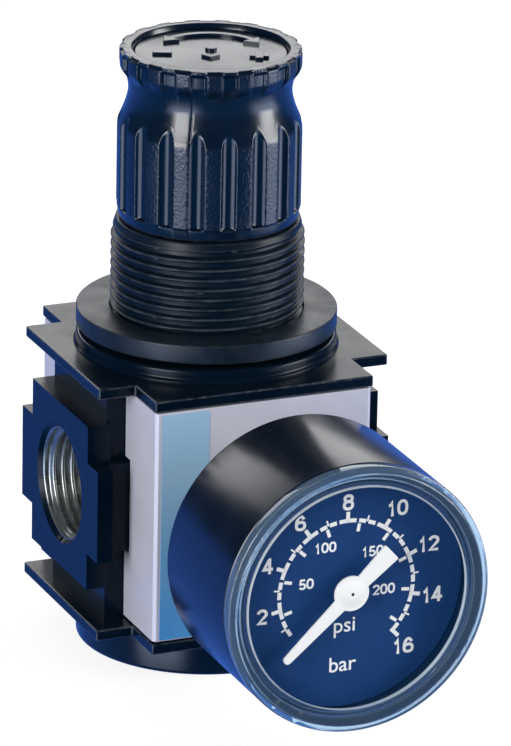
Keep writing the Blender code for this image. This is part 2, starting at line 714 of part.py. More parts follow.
def coil_spring(name, radius, wire, turns, low, high, root):
    """One wire wound on a helix. Its end turns lie closer, so each end seats flat."""
    count = turns * COIL
    rise = high - low - wire
    points = []
    for i in range(count + 1):
        share = i / count
        eased = share - 0.5 / turns * math.sin(2 * math.pi * share) / math.pi
        angle = 2 * math.pi * turns * share
        height = low + wire / 2 + rise * eased
        points.append(Vector((radius * math.cos(angle), radius * math.sin(angle), height)))
    gaps = []
    for i, point in enumerate(points):
        gaps += [(point - other).length - wire for other in points[i + COIL // 2:]]
    print(f"{name}: least gap between turns {min(gaps) * 1000:.2f} mm")
    curve = bpy.data.curves.new(name, "CURVE")
    curve.dimensions = "3D"
    curve.bevel_depth = wire / 2
    curve.bevel_resolution = 1
    curve.use_fill_caps = True
    spline = curve.splines.new("POLY")
    spline.points.add(count)
    for point, place in zip(spline.points, points):
        point.co = (*place, 1.0)
    spring = bpy.data.objects.new(name, curve)
    bpy.context.scene.collection.objects.link(spring)
    spring.parent = root
    give_finish(spring, "steel")
    return spring


def make_valve(root):
    """The valve stem with its flange, and the rubber seal that closes on the seat."""
    lead = STEM_GUIDE_R / 6
    profile = [
        (0, STEM_FOOT_Z),
        (STEM_GUIDE_R - lead, STEM_FOOT_Z),
        (STEM_GUIDE_R, STEM_FOOT_Z + lead),
        (STEM_GUIDE_R, VALVE_FLANGE_LOW_Z),
        (VALVE_FLANGE_R, VALVE_FLANGE_LOW_Z),
        (VALVE_FLANGE_R, VALVE_FLANGE_TOP_Z),
        (STEM_TOP_R, VALVE_FLANGE_TOP_Z),
        (STEM_TOP_R, STEM_TOP_Z - lead),
        (STEM_TOP_R - lead, STEM_TOP_Z),
        (0, STEM_TOP_Z),
    ]
    make_object("valve_stem", turned(profile, MEDIUM), "brass", root)
    inner = STEM_TOP_R + GAP
    top = VALVE_SEAL_LOW_Z + VALVE_SEAL_T
    ring = sleeve(inner, VALVE_SEAL_R, VALVE_SEAL_LOW_Z, top)
    make_object("valve_seal", turned(ring, MEDIUM, closed=True), "rubber", root)


def make_diaphragm(root):
    """A rubber disc with one rolled fold, held between the hub below it and the spring plate above it."""
    outer_roll = ROLL_R + DIAPHRAGM_T
    foot = math.asin(DIAPHRAGM_T / outer_roll)
    roll = (ROLL_AT_R, DIAPHRAGM_LOW_Z)
    profile = [(DIAPHRAGM_HOLE_R, DIAPHRAGM_LOW_Z)]
    profile += arc(roll, ROLL_R, math.pi, 0, 4)
    profile += [(DIAPHRAGM_R, DIAPHRAGM_LOW_Z), (DIAPHRAGM_R, DIAPHRAGM_TOP_Z)]
    profile += arc(roll, outer_roll, foot, math.pi - foot, 4)
    profile += [(DIAPHRAGM_HOLE_R, DIAPHRAGM_TOP_Z)]
    make_object("diaphragm", turned(profile, MEDIUM, closed=True), "rubber", root)

    neck_r = DIAPHRAGM_HOLE_R - GAP
    boss_top = SPRING_SEAT_Z + SPRING_PLATE_BOSS_H
    hub = [
        (HUB_RELIEF_R, HUB_LOW_Z),
        (HUB_R, HUB_LOW_Z),
        (HUB_R, HUB_LOW_Z + HUB_T),
        (neck_r, HUB_LOW_Z + HUB_T),
        (neck_r, boss_top + HUB_HEAD),
        (HUB_RELIEF_R, boss_top + HUB_HEAD),
    ]
    make_object("diaphragm_hub", turned(hub, MEDIUM, closed=True), "brass", root)
    plate = [
        (DIAPHRAGM_HOLE_R, CLAMP_Z),
        (SPRING_PLATE_R, CLAMP_Z),
        (SPRING_PLATE_R, SPRING_SEAT_Z),
        (SPRING_PLATE_BOSS_R, SPRING_SEAT_Z),
        (SPRING_PLATE_BOSS_R, boss_top),
        (DIAPHRAGM_HOLE_R, boss_top),
    ]
    make_object("spring_plate", turned(plate, MEDIUM, closed=True), "steel", root)


def make_bonnet(root):
    """The threaded housing of the main spring. Four slots in its bore keep the spring nut from turning."""
    shoulder_z = COLLAR_TOP_Z - 2 * GAP
    clamp_in = DIAPHRAGM_R - BONNET_CLAMP
    clamp_rise = ROLL_R + 2 * GAP
    profile = [
        (clamp_in, CLAMP_Z),
        (DIAPHRAGM_R, CLAMP_Z),
        (DIAPHRAGM_R, shoulder_z),
        (THREAD_R, shoulder_z),
        (THREAD_R, BONNET_TOP_Z - BONNET_EDGE),
        (THREAD_R - BONNET_EDGE, BONNET_TOP_Z),
        (SPINDLE_NECK_R + GAP, BONNET_TOP_Z),
        (SPINDLE_NECK_R + GAP, ROOF_Z),
        (BONNET_BORE_R, ROOF_Z),
        (BONNET_BORE_R, CLAMP_Z + clamp_rise + clamp_in - BONNET_BORE_R),
        (clamp_in, CLAMP_Z + clamp_rise),
    ]
    bonnet = make_object("bonnet", turned(profile, FINE, closed=True), "matte_black", root)
    low = CLAMP_Z - SLOT_DEPTH
    for name, half_x, half_y in (("x", SLOT_R, SLOT_W / 2), ("y", SLOT_W / 2, SLOT_R)):
        slot = block((-half_x, -half_y, low), (half_x, half_y, ROOF_Z - GAP))
        combine(bonnet, make_helper("bonnet_slot_" + name, slot, root), "DIFFERENCE")


def make_adjuster(root):
    """Spring nut, spindle, thrust washer, clip and main spring."""
    nut = make_object("spring_nut", prism(lug_outline(), SPRING_NUT_LOW_Z, SPRING_NUT_TOP_Z), "brass", root)
    boss_r = MAIN_SPRING_R * math.cos(math.pi / COIL) - MAIN_SPRING_WIRE / 2 - GAP
    boss_low = SPRING_NUT_LOW_Z - SPRING_NUT_BOSS_H
    overlap = SPRING_NUT_LOW_Z + SPRING_NUT_T / 2
    boss = turned(rod(boss_r, boss_low, overlap), MEDIUM)
    combine(nut, make_helper("spring_nut_boss", boss, root), "UNION")
    bore_r = SCREW_R + GAP
    past = SPRING_NUT_BOSS_H
    bore = borer(
        rod(bore_r, boss_low - past, SPRING_NUT_TOP_Z + past),
        MEDIUM,
    )
    combine(nut, make_helper("spring_nut_bore", bore, root), "DIFFERENCE")

    tail_z = boss_low - SCREW_PITCH * SCREW_TURNS - SCREW_TAIL / 4
    lead = SCREW_R / 6
    drive_low = KNOB_LOW_Z
    groove_low = CLIP_LOW_Z - GAP
    groove_top = CLIP_LOW_Z + CLIP_T + GAP
    groove_r = DRIVE_ACROSS / 2 - 2 * GAP
    end_z = groove_top + CLIP_T
    overlap = (KNOB_SOCKET_RISE - KNOB_LIFT) / 4
    profile = [
        (0, tail_z),
        (SCREW_R - lead, tail_z),
        (SCREW_R, tail_z + lead),
        (SCREW_R, SPINDLE_COLLAR_LOW_Z),
        (SPINDLE_COLLAR_R, SPINDLE_COLLAR_LOW_Z),
        (SPINDLE_COLLAR_R, SPINDLE_COLLAR_TOP_Z),
        (SPINDLE_NECK_R, SPINDLE_COLLAR_TOP_Z),
        (SPINDLE_NECK_R, drive_low + overlap),
        (groove_r, drive_low + overlap),
        (groove_r, groove_top),
        (DRIVE_ACROSS / 2, groove_top),
        (DRIVE_ACROSS / 2, end_z),
        (0, end_z),
    ]
    spindle = make_object("adjusting_spindle", turned(profile, MEDIUM), "brass", root)
    drive = prism(polygon(6, DRIVE_R), drive_low, groove_low)
    combine(spindle, make_helper("spindle_drive", drive, root), "UNION")

    inner = SPINDLE_NECK_R + GAP
    low = SPINDLE_COLLAR_TOP_Z + GAP
    top = low + WASHER_T
    washer = sleeve(inner, SPINDLE_COLLAR_R, low, top)
    make_object("thrust_washer", turned(washer, MEDIUM, closed=True), "steel", root)

    mouth = math.radians(35)
    inner = groove_r + RUN
    outline = arc((0, 0), CLIP_R, mouth, 2 * math.pi - mouth, 20)
    outline += arc((0, 0), inner, 2 * math.pi - mouth, mouth, 20)
    make_object("knob_clip", prism(outline, CLIP_LOW_Z, CLIP_LOW_Z + CLIP_T), "steel", root)

    coil_spring(
        "main_spring", MAIN_SPRING_R, MAIN_SPRING_WIRE, MAIN_SPRING_TURNS,
        SPRING_SEAT_Z + GAP, SPRING_NUT_LOW_Z - GAP, root,
    )


def lug_outline():
    """A round nut with four lugs that slide in the bonnet's slots."""
    half = SPRING_NUT_LUG_W / 2
    foot = math.asin(half / SPRING_NUT_R)
    tip = math.asin(half / SPRING_NUT_LUG_R)
    points = []
    for i in range(4):
        centre = i * math.pi / 2
        points += arc((0, 0), SPRING_NUT_LUG_R, centre - tip, centre + tip, 2)
        points += arc((0, 0), SPRING_NUT_R, centre + foot, centre + math.pi / 2 - foot, 8)
    return points


def make_panel_nut(root):
    inner = THREAD_R + GAP
    top = NUT_LOW_Z + NUT_T
    profile = [
        (inner + NUT_LEAD / 3, NUT_LOW_Z),
        (NUT_R - NUT_EDGE, NUT_LOW_Z),
        (NUT_R, NUT_LOW_Z + NUT_EDGE),
        (NUT_R, top - NUT_EDGE),
        (NUT_R - NUT_EDGE, top),
        (inner + NUT_LEAD, top),
        (inner, top - NUT_LEAD / 2),
        (inner, NUT_LOW_Z + NUT_LEAD / 3),
    ]
    make_object("panel_nut", turned(profile, FINE, closed=True), "matte_black", root)


def knob_rows():
    """Height, rib radius and groove radius of each ring of the knob, from its foot to its crown."""
    low, top = KNOB_LOW_Z, KNOB_TOP_Z
    floor_r = KNOB_SKIRT_R - KNOB_GROOVE
    band_z = low + KNOB_BAND_H
    skirt_z = band_z + KNOB_RIB_H
    waist_z = top - KNOB_WAIST_DROP
    crown_z = top - KNOB_CROWN_H
    crown_floor = KNOB_CROWN_R - KNOB_CROWN_GROOVE
    rise = waist_z - skirt_z
    rows = [
        (low, KNOB_FOOT_R, KNOB_FOOT_R),
        (low + KNOB_BAND_H / 3, KNOB_BAND_R - GAP, KNOB_BAND_R - GAP),
        (band_z - GAP, KNOB_BAND_R, KNOB_BAND_R),
        (band_z, KNOB_SKIRT_R, floor_r),
        (skirt_z, KNOB_SKIRT_R, floor_r),
    ]
    for share in (0.25, 0.5, 0.75):
        ease = (1 + math.cos(math.pi * share)) / 2
        radius = KNOB_WAIST_R + (KNOB_SKIRT_R - KNOB_WAIST_R) * ease
        rows.append((skirt_z + rise * share, radius, min(radius, floor_r)))
    rows.append((waist_z, KNOB_WAIST_R, KNOB_WAIST_R))
    neck = crown_z - waist_z
    ease = (1 - math.cos(math.pi * KNOB_PAD_START)) / 2
    radius = KNOB_WAIST_R + (crown_floor - KNOB_WAIST_R) * ease
    rows += [
        (waist_z + neck * KNOB_PAD_START, radius, radius),
        (crown_z, KNOB_CROWN_R, crown_floor),
        (top - KNOB_PAD_DROP, KNOB_CROWN_R, crown_floor),
        (top - KNOB_CROWN_EDGE, crown_floor, crown_floor),
        (top, crown_floor - KNOB_CROWN_EDGE, crown_floor - KNOB_CROWN_EDGE),
    ]
    return rows


def make_knob(root):
    """Ribbed rings bridged into one skin, then hollowed from below and recessed on top."""
    bm = bmesh.new()
    pitch = 2 * math.pi / KNOB_RIBS
    rib = pitch * KNOB_RIB_SHARE / 2
    flank = pitch * KNOB_FLANK_SHARE
    offsets = [(-rib, True), (rib, True), (rib + flank, False), (pitch - rib - flank, False)]
    rings = []
    for z, rib_r, groove_r in knob_rows():
        ring = []
        for i in range(KNOB_RIBS):
            for offset, raised in offsets:
                angle = -math.pi / 2 + i * pitch + offset
                radius = rib_r if raised else groove_r
                ring.append(bm.verts.new((radius * math.cos(angle), radius * math.sin(angle), z)))
        rings.append(ring)
    count = len(rings[0])
    for lower, upper in zip(rings, rings[1:]):
        for i in range(count):
            j = (i + 1) % count
            bm.faces.new((lower[i], lower[j], upper[j], upper[i]))
    bm.faces.new(rings[0])
    bm.faces.new(rings[-1])
    knob = make_object("knob", bm, "gloss_black", root)

    past = KNOB_BAND_H
    cavity_r = KNOB_WAIST_R - KNOB_WALL
    cavity_top = SOCKET_TOP_Z - KNOB_WALL
    cavity = borer(
        [
            (0, KNOB_LOW_Z - past),
            (cavity_r, KNOB_LOW_Z - past),
            (cavity_r, cavity_top),
            (KNOB_SOCKET_R, cavity_top),
            (KNOB_SOCKET_R, SOCKET_LOW_Z),
            (0, SOCKET_LOW_Z),
        ],
        MEDIUM,
    )
    clip_room = CLIP_R + 2 * GAP
    recess_r = KNOB_CAP_R + GAP
    seat_z = KNOB_CAP_LOW_Z - GAP
    recess = borer(
        [
            (0, SOCKET_TOP_Z),
            (clip_room, SOCKET_TOP_Z),
            (clip_room, seat_z),
            (recess_r, seat_z),
            (recess_r, KNOB_TOP_Z + past),
            (0, KNOB_TOP_Z + past),
        ],
        MEDIUM,
    )
    socket_r = DRIVE_R + GAP * 2 / math.sqrt(3)
    socket = prism(polygon(6, socket_r), SOCKET_LOW_Z - past, SOCKET_TOP_Z + GAP)
    for name, cutter in (("cavity", cavity), ("recess", recess), ("socket", socket)):
        combine(knob, make_helper("knob_" + name, cutter, root), "DIFFERENCE")

    edge = KNOB_CAP_T / 6
    cap = [
        (0, KNOB_CAP_LOW_Z),
        (KNOB_CAP_R, KNOB_CAP_LOW_Z),
        (KNOB_CAP_R, KNOB_CAP_TOP_Z - edge),
        (KNOB_CAP_R - edge, KNOB_CAP_TOP_Z),
        (0, KNOB_CAP_TOP_Z),
    ]
    make_object("knob_cap", turned(cap, MEDIUM), "gloss_black", root)


def make_rear_plug(root):
    """Hexagon-socket plug in the rear gauge port, on its seal. Built along +Z and laid along +Y."""
    axis = make_empty("rear_port_axis", root, (0, 0, PORT_Z), (-math.pi / 2, 0, 0))
    flat_seal("rear_plug_seal", axis)
    head_low = HEX_BACK
    head_top = head_low + PLUG_HEAD_T
    tail = BOSS_END - STEM_THREAD_H
    profile = [
        (0, tail),
        (STEM_THREAD_R - GAP, tail),
        (STEM_THREAD_R, tail + GAP),
        (STEM_THREAD_R, head_low),
        (PLUG_HEAD_R, head_low),
        (PLUG_HEAD_R, head_top - EDGE_ROUND),
        (PLUG_HEAD_R - EDGE_ROUND, head_top),
        (0, head_top),
    ]
    plug = make_object("rear_plug", turned(profile, MEDIUM), "brass", axis)
    hexagon = polygon(6, PLUG_SOCKET_ACROSS / math.sqrt(3))
    socket = prism(hexagon, head_top - PLUG_SOCKET_DEPTH, head_top + PLUG_HEAD_T)
    combine(plug, make_helper("plug_socket", socket, axis), "DIFFERENCE")


def flat_seal(name, axis):
    inner = STEM_THREAD_R + GAP
    top = SEAL_BACK + SEAL_T
    ring = sleeve(inner, SEAL_R, SEAL_BACK, top)
    return make_object(name, turned(ring, MEDIUM, closed=True), "rubber", axis)


def make_gauge_shell(axis):
    """Stem, seal, case, dial and lens, all turned about the gauge axis."""
    flat_seal("gauge_seal", axis)
    tail = BOSS_END - STEM_THREAD_H
    shank_top = CASE_BACK - GAP
    hex_top = HEX_BACK + STEM_HEX_H
    joint = HEX_BACK + STEM_HEX_H / 2
    inside = BLOCK_BACK + BLOCK_H / 2
    profile = [
        (0, tail),
        (STEM_THREAD_R - GAP, tail),
        (STEM_THREAD_R, tail + GAP),
        (STEM_THREAD_R, joint),
        (STEM_SHANK_R, joint),
        (STEM_SHANK_R, shank_top),
        (STEM_NECK_R, shank_top),
        (STEM_NECK_R, inside),
        (0, inside),
    ]
    stem = make_object("gauge_stem", turned(profile, MEDIUM), "brass", axis)
    hexagon = prism(polygon(6, STEM_HEX_ACROSS / math.sqrt(3)), HEX_BACK, hex_top)
    mouth = tail - SEAL_T
    bore = borer(rod(STEM_BORE_R, mouth, BLOCK_BACK), SMALL)
    socket = block((-BLOCK_HALF, -BLOCK_HALF, BLOCK_BACK), (BLOCK_HALF, BLOCK_HALF, BLOCK_FRONT))
    soften(socket, EDGE_ROUND)
    arm_inset = (BLOCK_H - TUBE_W) / 2 - GAP
    arm = block(
        (-ARM_HALF_W, -TUBE_R - TUBE_T, BLOCK_BACK + arm_inset),
        (ARM_HALF_W, 0, BLOCK_FRONT - arm_inset),
    )
    combine(stem, make_helper("stem_hexagon", hexagon, axis), "UNION")
    combine(stem, make_helper("stem_socket", socket, axis), "UNION")
    combine(stem, make_helper("stem_arm", arm, axis), "UNION")
    combine(stem, make_helper("stem_bore", bore, axis), "DIFFERENCE")

    hole = STEM_NECK_R + GAP
    case = [(hole, CASE_BACK)]
    case += arc((CASE_R - CASE_ROUND, CASE_BACK + CASE_ROUND), CASE_ROUND, -math.pi / 2, 0, 4)
    case += [
        (CASE_R, CASE_FRONT),
        (DIAL_SEAT_R, CASE_FRONT),
        (DIAL_SEAT_R, CASE_FRONT - DIAL_SEAT_DEPTH),
        (CASE_BORE_R, CASE_FRONT - DIAL_SEAT_DEPTH),
        (CASE_BORE_R, CASE_INSIDE),
        (hole, CASE_INSIDE),
    ]
    make_object("gauge_case", turned(case, FINE, closed=True), "matte_black", axis)

    hole = ARBOR_R + 2 * GAP
    rim = DIAL_SEAT_R - GAP
    dial = sleeve(hole, rim, DIAL_BACK, DIAL_FRONT)
    make_object("gauge_dial", turned(dial, FINE, closed=True), "dial_print", axis)

    pane_back = LENS_FRONT - LENS_PANE
    skirt = LENS_BACK - LENS_SKIRT_H + GAP
    step_r = LENS_R - LENS_STEP
    lens = [
        (0, pane_back),
        (WINDOW_R, pane_back),
        (WINDOW_R, skirt),
        (LENS_SKIRT_R, skirt),
        (LENS_SKIRT_R, LENS_BACK),
        (LENS_R, LENS_BACK),
        (LENS_R, LENS_BACK + LENS_STEP_H - LENS_BEVEL),
        (LENS_R - LENS_BEVEL, LENS_BACK + LENS_STEP_H),
        (step_r, LENS_BACK + LENS_STEP_H),
        (step_r, LENS_FRONT - LENS_BEVEL),
        (step_r - LENS_BEVEL, LENS_FRONT),
        (0, LENS_FRONT),
    ]
    make_object("gauge_lens", turned(lens, FINE), "clear", axis)


def clock_point(degrees, radius):
    """A point at an angle counted clockwise from the top of the dial."""
    angle = math.radians(degrees)
    return Vector((radius * math.sin(angle), radius * math.cos(angle)))


def make_bourdon_tube(axis):
    """A flat tube bent into a C, with a tip that carries the link's post."""
    bm = bmesh.new()
    middle = (BLOCK_BACK + BLOCK_FRONT) / 2
    flat = TUBE_W / 2 - TUBE_T / 2
    section = arc((0, flat), TUBE_T / 2, 0, math.pi, 3) + arc((0, -flat), TUBE_T / 2, math.pi, 2 * math.pi, 3)
    rings = []
    for i in range(TUBE_STEPS + 1):
        degrees = TUBE_START_DEG + TUBE_SWEEP_DEG * i / TUBE_STEPS
        ring = []
        for across, along in section:
            place = clock_point(degrees, TUBE_R + across)
            ring.append(bm.verts.new((place.x, place.y, middle + along)))
        rings.append(ring)
    for one, two in zip(rings, rings[1:]):
        for i in range(len(section)):
            j = (i + 1) % len(section)
            bm.faces.new((one[i], one[j], two[j], two[i]))
    bm.faces.new(rings[0])
    bm.faces.new(rings[-1])
    tube = make_object("bourdon_tube", bm, "brass", axis)
    tip = clock_point(TUBE_TIP_DEG, TUBE_R)
    half = TUBE_T
    block_low = middle - TUBE_W / 2 - GAP
    head = block((-half, -half, block_low), (half, half, middle + TUBE_W / 2 + GAP))
    post_top = LINK_BACK + LINK_T + GAP
    post = turned(rod(LINK_PIN_R, middle, post_top), SMALL)
    for name, bm in (("tip", head), ("post", post)):
        combine(tube, make_helper("tube_" + name, shift_mesh(bm, (tip.x, tip.y, 0)), axis), "UNION")


def rounded_hull(points, radius, steps):
    """The outline round equal circles on the corners of a convex polygon that runs anticlockwise."""
    outline = []
    count = len(points)
    for i, corner in enumerate(points):
        before = corner - points[i - 1]
        after = points[(i + 1) % count] - corner
        start = math.atan2(before.y, before.x) - math.pi / 2
        turn = math.atan2(before.x * after.y - before.y * after.x, before.dot(after))
        outline += arc(corner, radius, start, start + turn, steps)
    return outline


def make_movement(axis):
    """The frame of two plates on pillars, the arbor with its pinion, the toothed sector and the link."""
    upper = Vector((UPPER_PILLAR_X, UPPER_PILLAR_Y))
    lower = Vector((LOWER_PILLAR_X, LOWER_PILLAR_Y))
    pillars = [upper, lower]
    corners = [upper, lower, SECTOR_PIVOT]
    outline = rounded_hull(corners, MOVEMENT_CORNER_R, 6)
    frame = make_object("movement_frame", prism(outline, PLATE_1, PLATE_1 + MOVEMENT_PLATE_T), "brass", axis)
    front = prism(outline, PLATE_2, MOVEMENT_FRONT)
    inset = MOVEMENT_PLATE_T / 2
    parts = [("front_plate", front)]
    for i, place in enumerate(pillars):
        low, top = PLATE_1 + inset, PLATE_2 + inset
        pillar = turned(rod(PILLAR_R, low, top), SMALL)
        parts.append((f"pillar_{i}", shift_mesh(pillar, (place.x, place.y, 0))))
    for name, bm in parts:
        combine(frame, make_helper("movement_" + name, bm, axis), "UNION")
    for name, place in (("arbor", Vector((0, 0))), ("sector", SECTOR_PIVOT)):
        hole_r = ARBOR_R + RUN
        low, top = PLATE_1 - inset, MOVEMENT_FRONT + inset
        hole = borer(rod(hole_r, low, top), SMALL)
        shift_mesh(hole, (place.x, place.y, 0))
        combine(frame, make_helper("movement_hole_" + name, hole, axis), "DIFFERENCE")

    shaft_low = PLATE_1 + RUN
    tip_z = POINTER_FRONT + GAP
    arbor = make_object(
        "pointer_arbor",
        turned(rod(ARBOR_R, shaft_low, tip_z), SMALL),
        "brass",
        axis,
    )
    face = (SECTOR_BACK - GAP, SECTOR_FRONT + GAP)
    pinion = prism(tooth_outline(PINION_TEETH, PINION_TEETH, SECTOR_BEARING + math.pi, 0), *face)
    combine(arbor, make_helper("pinion", pinion, axis), "UNION")

    pivot = make_empty("sector_axis", axis, (SECTOR_PIVOT.x, SECTOR_PIVOT.y, 0))
    sector = make_object("sector_gear", prism(sector_outline(), SECTOR_BACK, SECTOR_FRONT), "brass", pivot)
    low, top = PLATE_1 + RUN, MOVEMENT_FRONT - RUN
    shaft = turned(
        [
            (0, low),
            (ARBOR_R, low),
            (ARBOR_R, SECTOR_BACK - SECTOR_T),
            (SECTOR_HUB_R, SECTOR_BACK - SECTOR_T),
            (SECTOR_HUB_R, SECTOR_FRONT + SECTOR_T),
            (ARBOR_R, SECTOR_FRONT + SECTOR_T),
            (ARBOR_R, top),
            (0, top),
        ],
        SMALL,
    )
    tail = TAIL_PIN - SECTOR_PIVOT
    pin_top = LINK_BACK + LINK_T + GAP
    pin = turned(rod(LINK_PIN_R, SECTOR_BACK + SECTOR_T / 2, pin_top), SMALL)
    combine(sector, make_helper("sector_shaft", shaft, pivot), "UNION")
    combine(sector, make_helper("sector_pin", shift_mesh(pin, (tail.x, tail.y, 0)), pivot), "UNION")

    link_axis = make_empty("link_axis", pivot, (tail.x, tail.y, 0))
    far = clock_point(TUBE_TIP_DEG, TUBE_R) - TAIL_PIN
    outline = rounded_hull([Vector((0, 0)), far], LINK_EYE_R, 8)
    link = make_object("movement_link", prism(outline, LINK_BACK, LINK_BACK + LINK_T), "brass", link_axis)
    for i, place in enumerate((Vector((0, 0)), far)):
        eye_r = LINK_PIN_R + RUN
        low, top = LINK_BACK - LINK_T, LINK_BACK + 2 * LINK_T
        eye = borer(rod(eye_r, low, top), SMALL)
        shift_mesh(eye, (place.x, place.y, 0))
        combine(link, make_helper(f"link_eye_{i}", eye, link_axis), "DIFFERENCE")


def tooth_outline(teeth, shown, centre_angle, phase):
    """Points of a toothed rim: each tooth is a trapezium. A full wheel closes on itself."""
    pitch = 2 * math.pi / teeth
    radius = GEAR_MODULE * teeth / 2
    tip_r = radius + TOOTH_ADDENDUM * GEAR_MODULE
    root_r = radius - TOOTH_DEDENDUM * GEAR_MODULE
    root, tip = TOOTH_ROOT_SHARE, TOOTH_TIP_SHARE
    points = []
    for i in range(shown):
        middle = centre_angle + (i + phase) * pitch
        for share, rim in ((-root, root_r), (-tip, tip_r), (tip, tip_r), (root, root_r)):
            angle = middle + share * pitch
            points.append((rim * math.cos(angle), rim * math.sin(angle)))
    return points


def sector_outline():
    """A toothed arc on a tapering web, with a tail on the far side of the pivot for the link."""
    start = SECTOR_BEARING - (SECTOR_ARC_TEETH - 1.5) * SECTOR_PITCH
    teeth = tooth_outline(SECTOR_TEETH, SECTOR_ARC_TEETH, start, 0)
    tail = TAIL_PIN - SECTOR_PIVOT
    across = Vector((-tail.y, tail.x)).normalized()
    eye = LINK_EYE_R
    side = math.atan2(tail.y, tail.x)
    end = arc(tail, eye, side - math.pi / 2, side + math.pi / 2, 6)
    hub = SECTOR_HUB_R * across
    outline = list(teeth)
    outline.append((hub.x * -1, hub.y * -1))
    outline += end
    outline.append((hub.x, hub.y))
    return outline


def make_pointer(axis):
    """A tapered needle with a round hub and a broad flat tail, laid along its zero direction."""
    root = math.asin(POINTER_ROOT_HALF / POINTER_HUB_R)
    tail_root = math.asin(POINTER_TAIL_ROOT_HALF / POINTER_HUB_R)
    quarter = math.pi / 2
    tip_y = POINTER_REACH - POINTER_TIP_HALF
    outline = arc((0, tip_y), POINTER_TIP_HALF, 0, math.pi, 6)
    outline += arc((0, 0), POINTER_HUB_R, quarter + root, 3 * quarter - tail_root, 10)
    outline += [(-POINTER_TAIL_END_HALF, -POINTER_TAIL), (POINTER_TAIL_END_HALF, -POINTER_TAIL)]
    outline += arc((0, 0), POINTER_HUB_R, -quarter + tail_root, quarter - root, 10)
    bm = turn_mesh(prism(outline, POINTER_BACK, POINTER_FRONT), "Z", -math.radians(POINTER_ZERO_DEG))
    pointer = make_object("gauge_pointer", bm, "pointer_white", axis)
    hole_r = ARBOR_R + RUN
    past = POINTER_T
    hole = borer(rod(hole_r, POINTER_BACK - past, POINTER_FRONT + past), SMALL)
    combine(pointer, make_helper("pointer_hole", hole, axis), "DIFFERENCE")


def main():
    for obj in list(bpy.data.objects):
        bpy.data.objects.remove(obj)
    root = make_empty("regulator")
    make_body(root)
    make_cover("front_cover", -1, root)
    make_cover("rear_cover", 1, root)
    make_bottom_cap(root)
    make_valve(root)
    make_diaphragm(root)
    make_bonnet(root)
    make_adjuster(root)
    make_panel_nut(root)
    make_knob(root)
    make_rear_plug(root)
    gauge_axis = make_empty("gauge_axis", root, (0, 0, PORT_Z), (math.pi / 2, 0, 0))
    make_gauge_shell(gauge_axis)
    make_bourdon_tube(gauge_axis)
    make_movement(gauge_axis)
    make_pointer(gauge_axis)


main()
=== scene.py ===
import math

import bmesh
import bpy
import numpy as np
from mathutils import Matrix, Vector


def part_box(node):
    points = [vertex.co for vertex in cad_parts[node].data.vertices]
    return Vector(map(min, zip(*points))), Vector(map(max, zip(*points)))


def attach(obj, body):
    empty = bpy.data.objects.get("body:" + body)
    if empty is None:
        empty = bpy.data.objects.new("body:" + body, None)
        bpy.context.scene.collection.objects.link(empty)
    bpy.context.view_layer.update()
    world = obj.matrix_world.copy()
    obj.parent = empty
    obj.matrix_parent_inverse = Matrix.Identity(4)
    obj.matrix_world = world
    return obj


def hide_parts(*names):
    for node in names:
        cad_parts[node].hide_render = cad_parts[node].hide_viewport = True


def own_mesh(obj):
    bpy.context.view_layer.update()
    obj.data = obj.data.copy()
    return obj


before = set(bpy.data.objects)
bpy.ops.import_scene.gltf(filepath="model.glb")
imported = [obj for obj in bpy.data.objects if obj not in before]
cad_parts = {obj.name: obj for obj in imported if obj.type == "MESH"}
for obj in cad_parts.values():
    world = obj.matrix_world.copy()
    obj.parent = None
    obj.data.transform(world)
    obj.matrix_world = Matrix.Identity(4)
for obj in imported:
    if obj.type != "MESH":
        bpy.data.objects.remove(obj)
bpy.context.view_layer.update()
mm = 0.001
print("frame loaded,", len(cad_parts), "nodes")


# corners of a node's box in millimetres
def nodeBox(node):
    low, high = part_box(node)
    return np.array(low) / mm, np.array(high) / mm


lensLow, lensHigh = nodeBox("gauge_lens")
portZ = (lensLow[2] + lensHigh[2]) / 2  # height of the port and gauge axes


# smooth step from 0 to 1 between two values
def ease(value, low, high):
    share = np.clip((value - low) / (high - low), 0, 1)
    return share * share * (3 - 2 * share)


# wave that rises from 0 to 1 and falls back over each whole step
def wave(phase):
    return 1 - np.abs(2 * (phase % 1.0) - 1)


# the lesser of two values, rounded where they meet: minus the log of the sum of falling exponentials
def softLeast(first, second, width):
    return -width * np.logaddexp(-first / width, -second / width)


# even angles round one turn
def fullTurn(steps):
    return np.arange(steps) * 2 * np.pi / steps


# quads between neighbours of a grid of points whose columns close on themselves, and its rows where asked
def gridQuads(rows, columns, wrapRows):
    row, column = np.meshgrid(np.arange(rows if wrapRows else rows - 1), np.arange(columns), indexing="ij")
    rowNext, columnNext = (row + 1) % rows, (column + 1) % columns
    corners = (
        row * columns + column, row * columns + columnNext,
        rowNext * columns + columnNext, rowNext * columns + column,
    )
    return np.stack(corners, axis=-1).reshape(-1, 4).tolist()


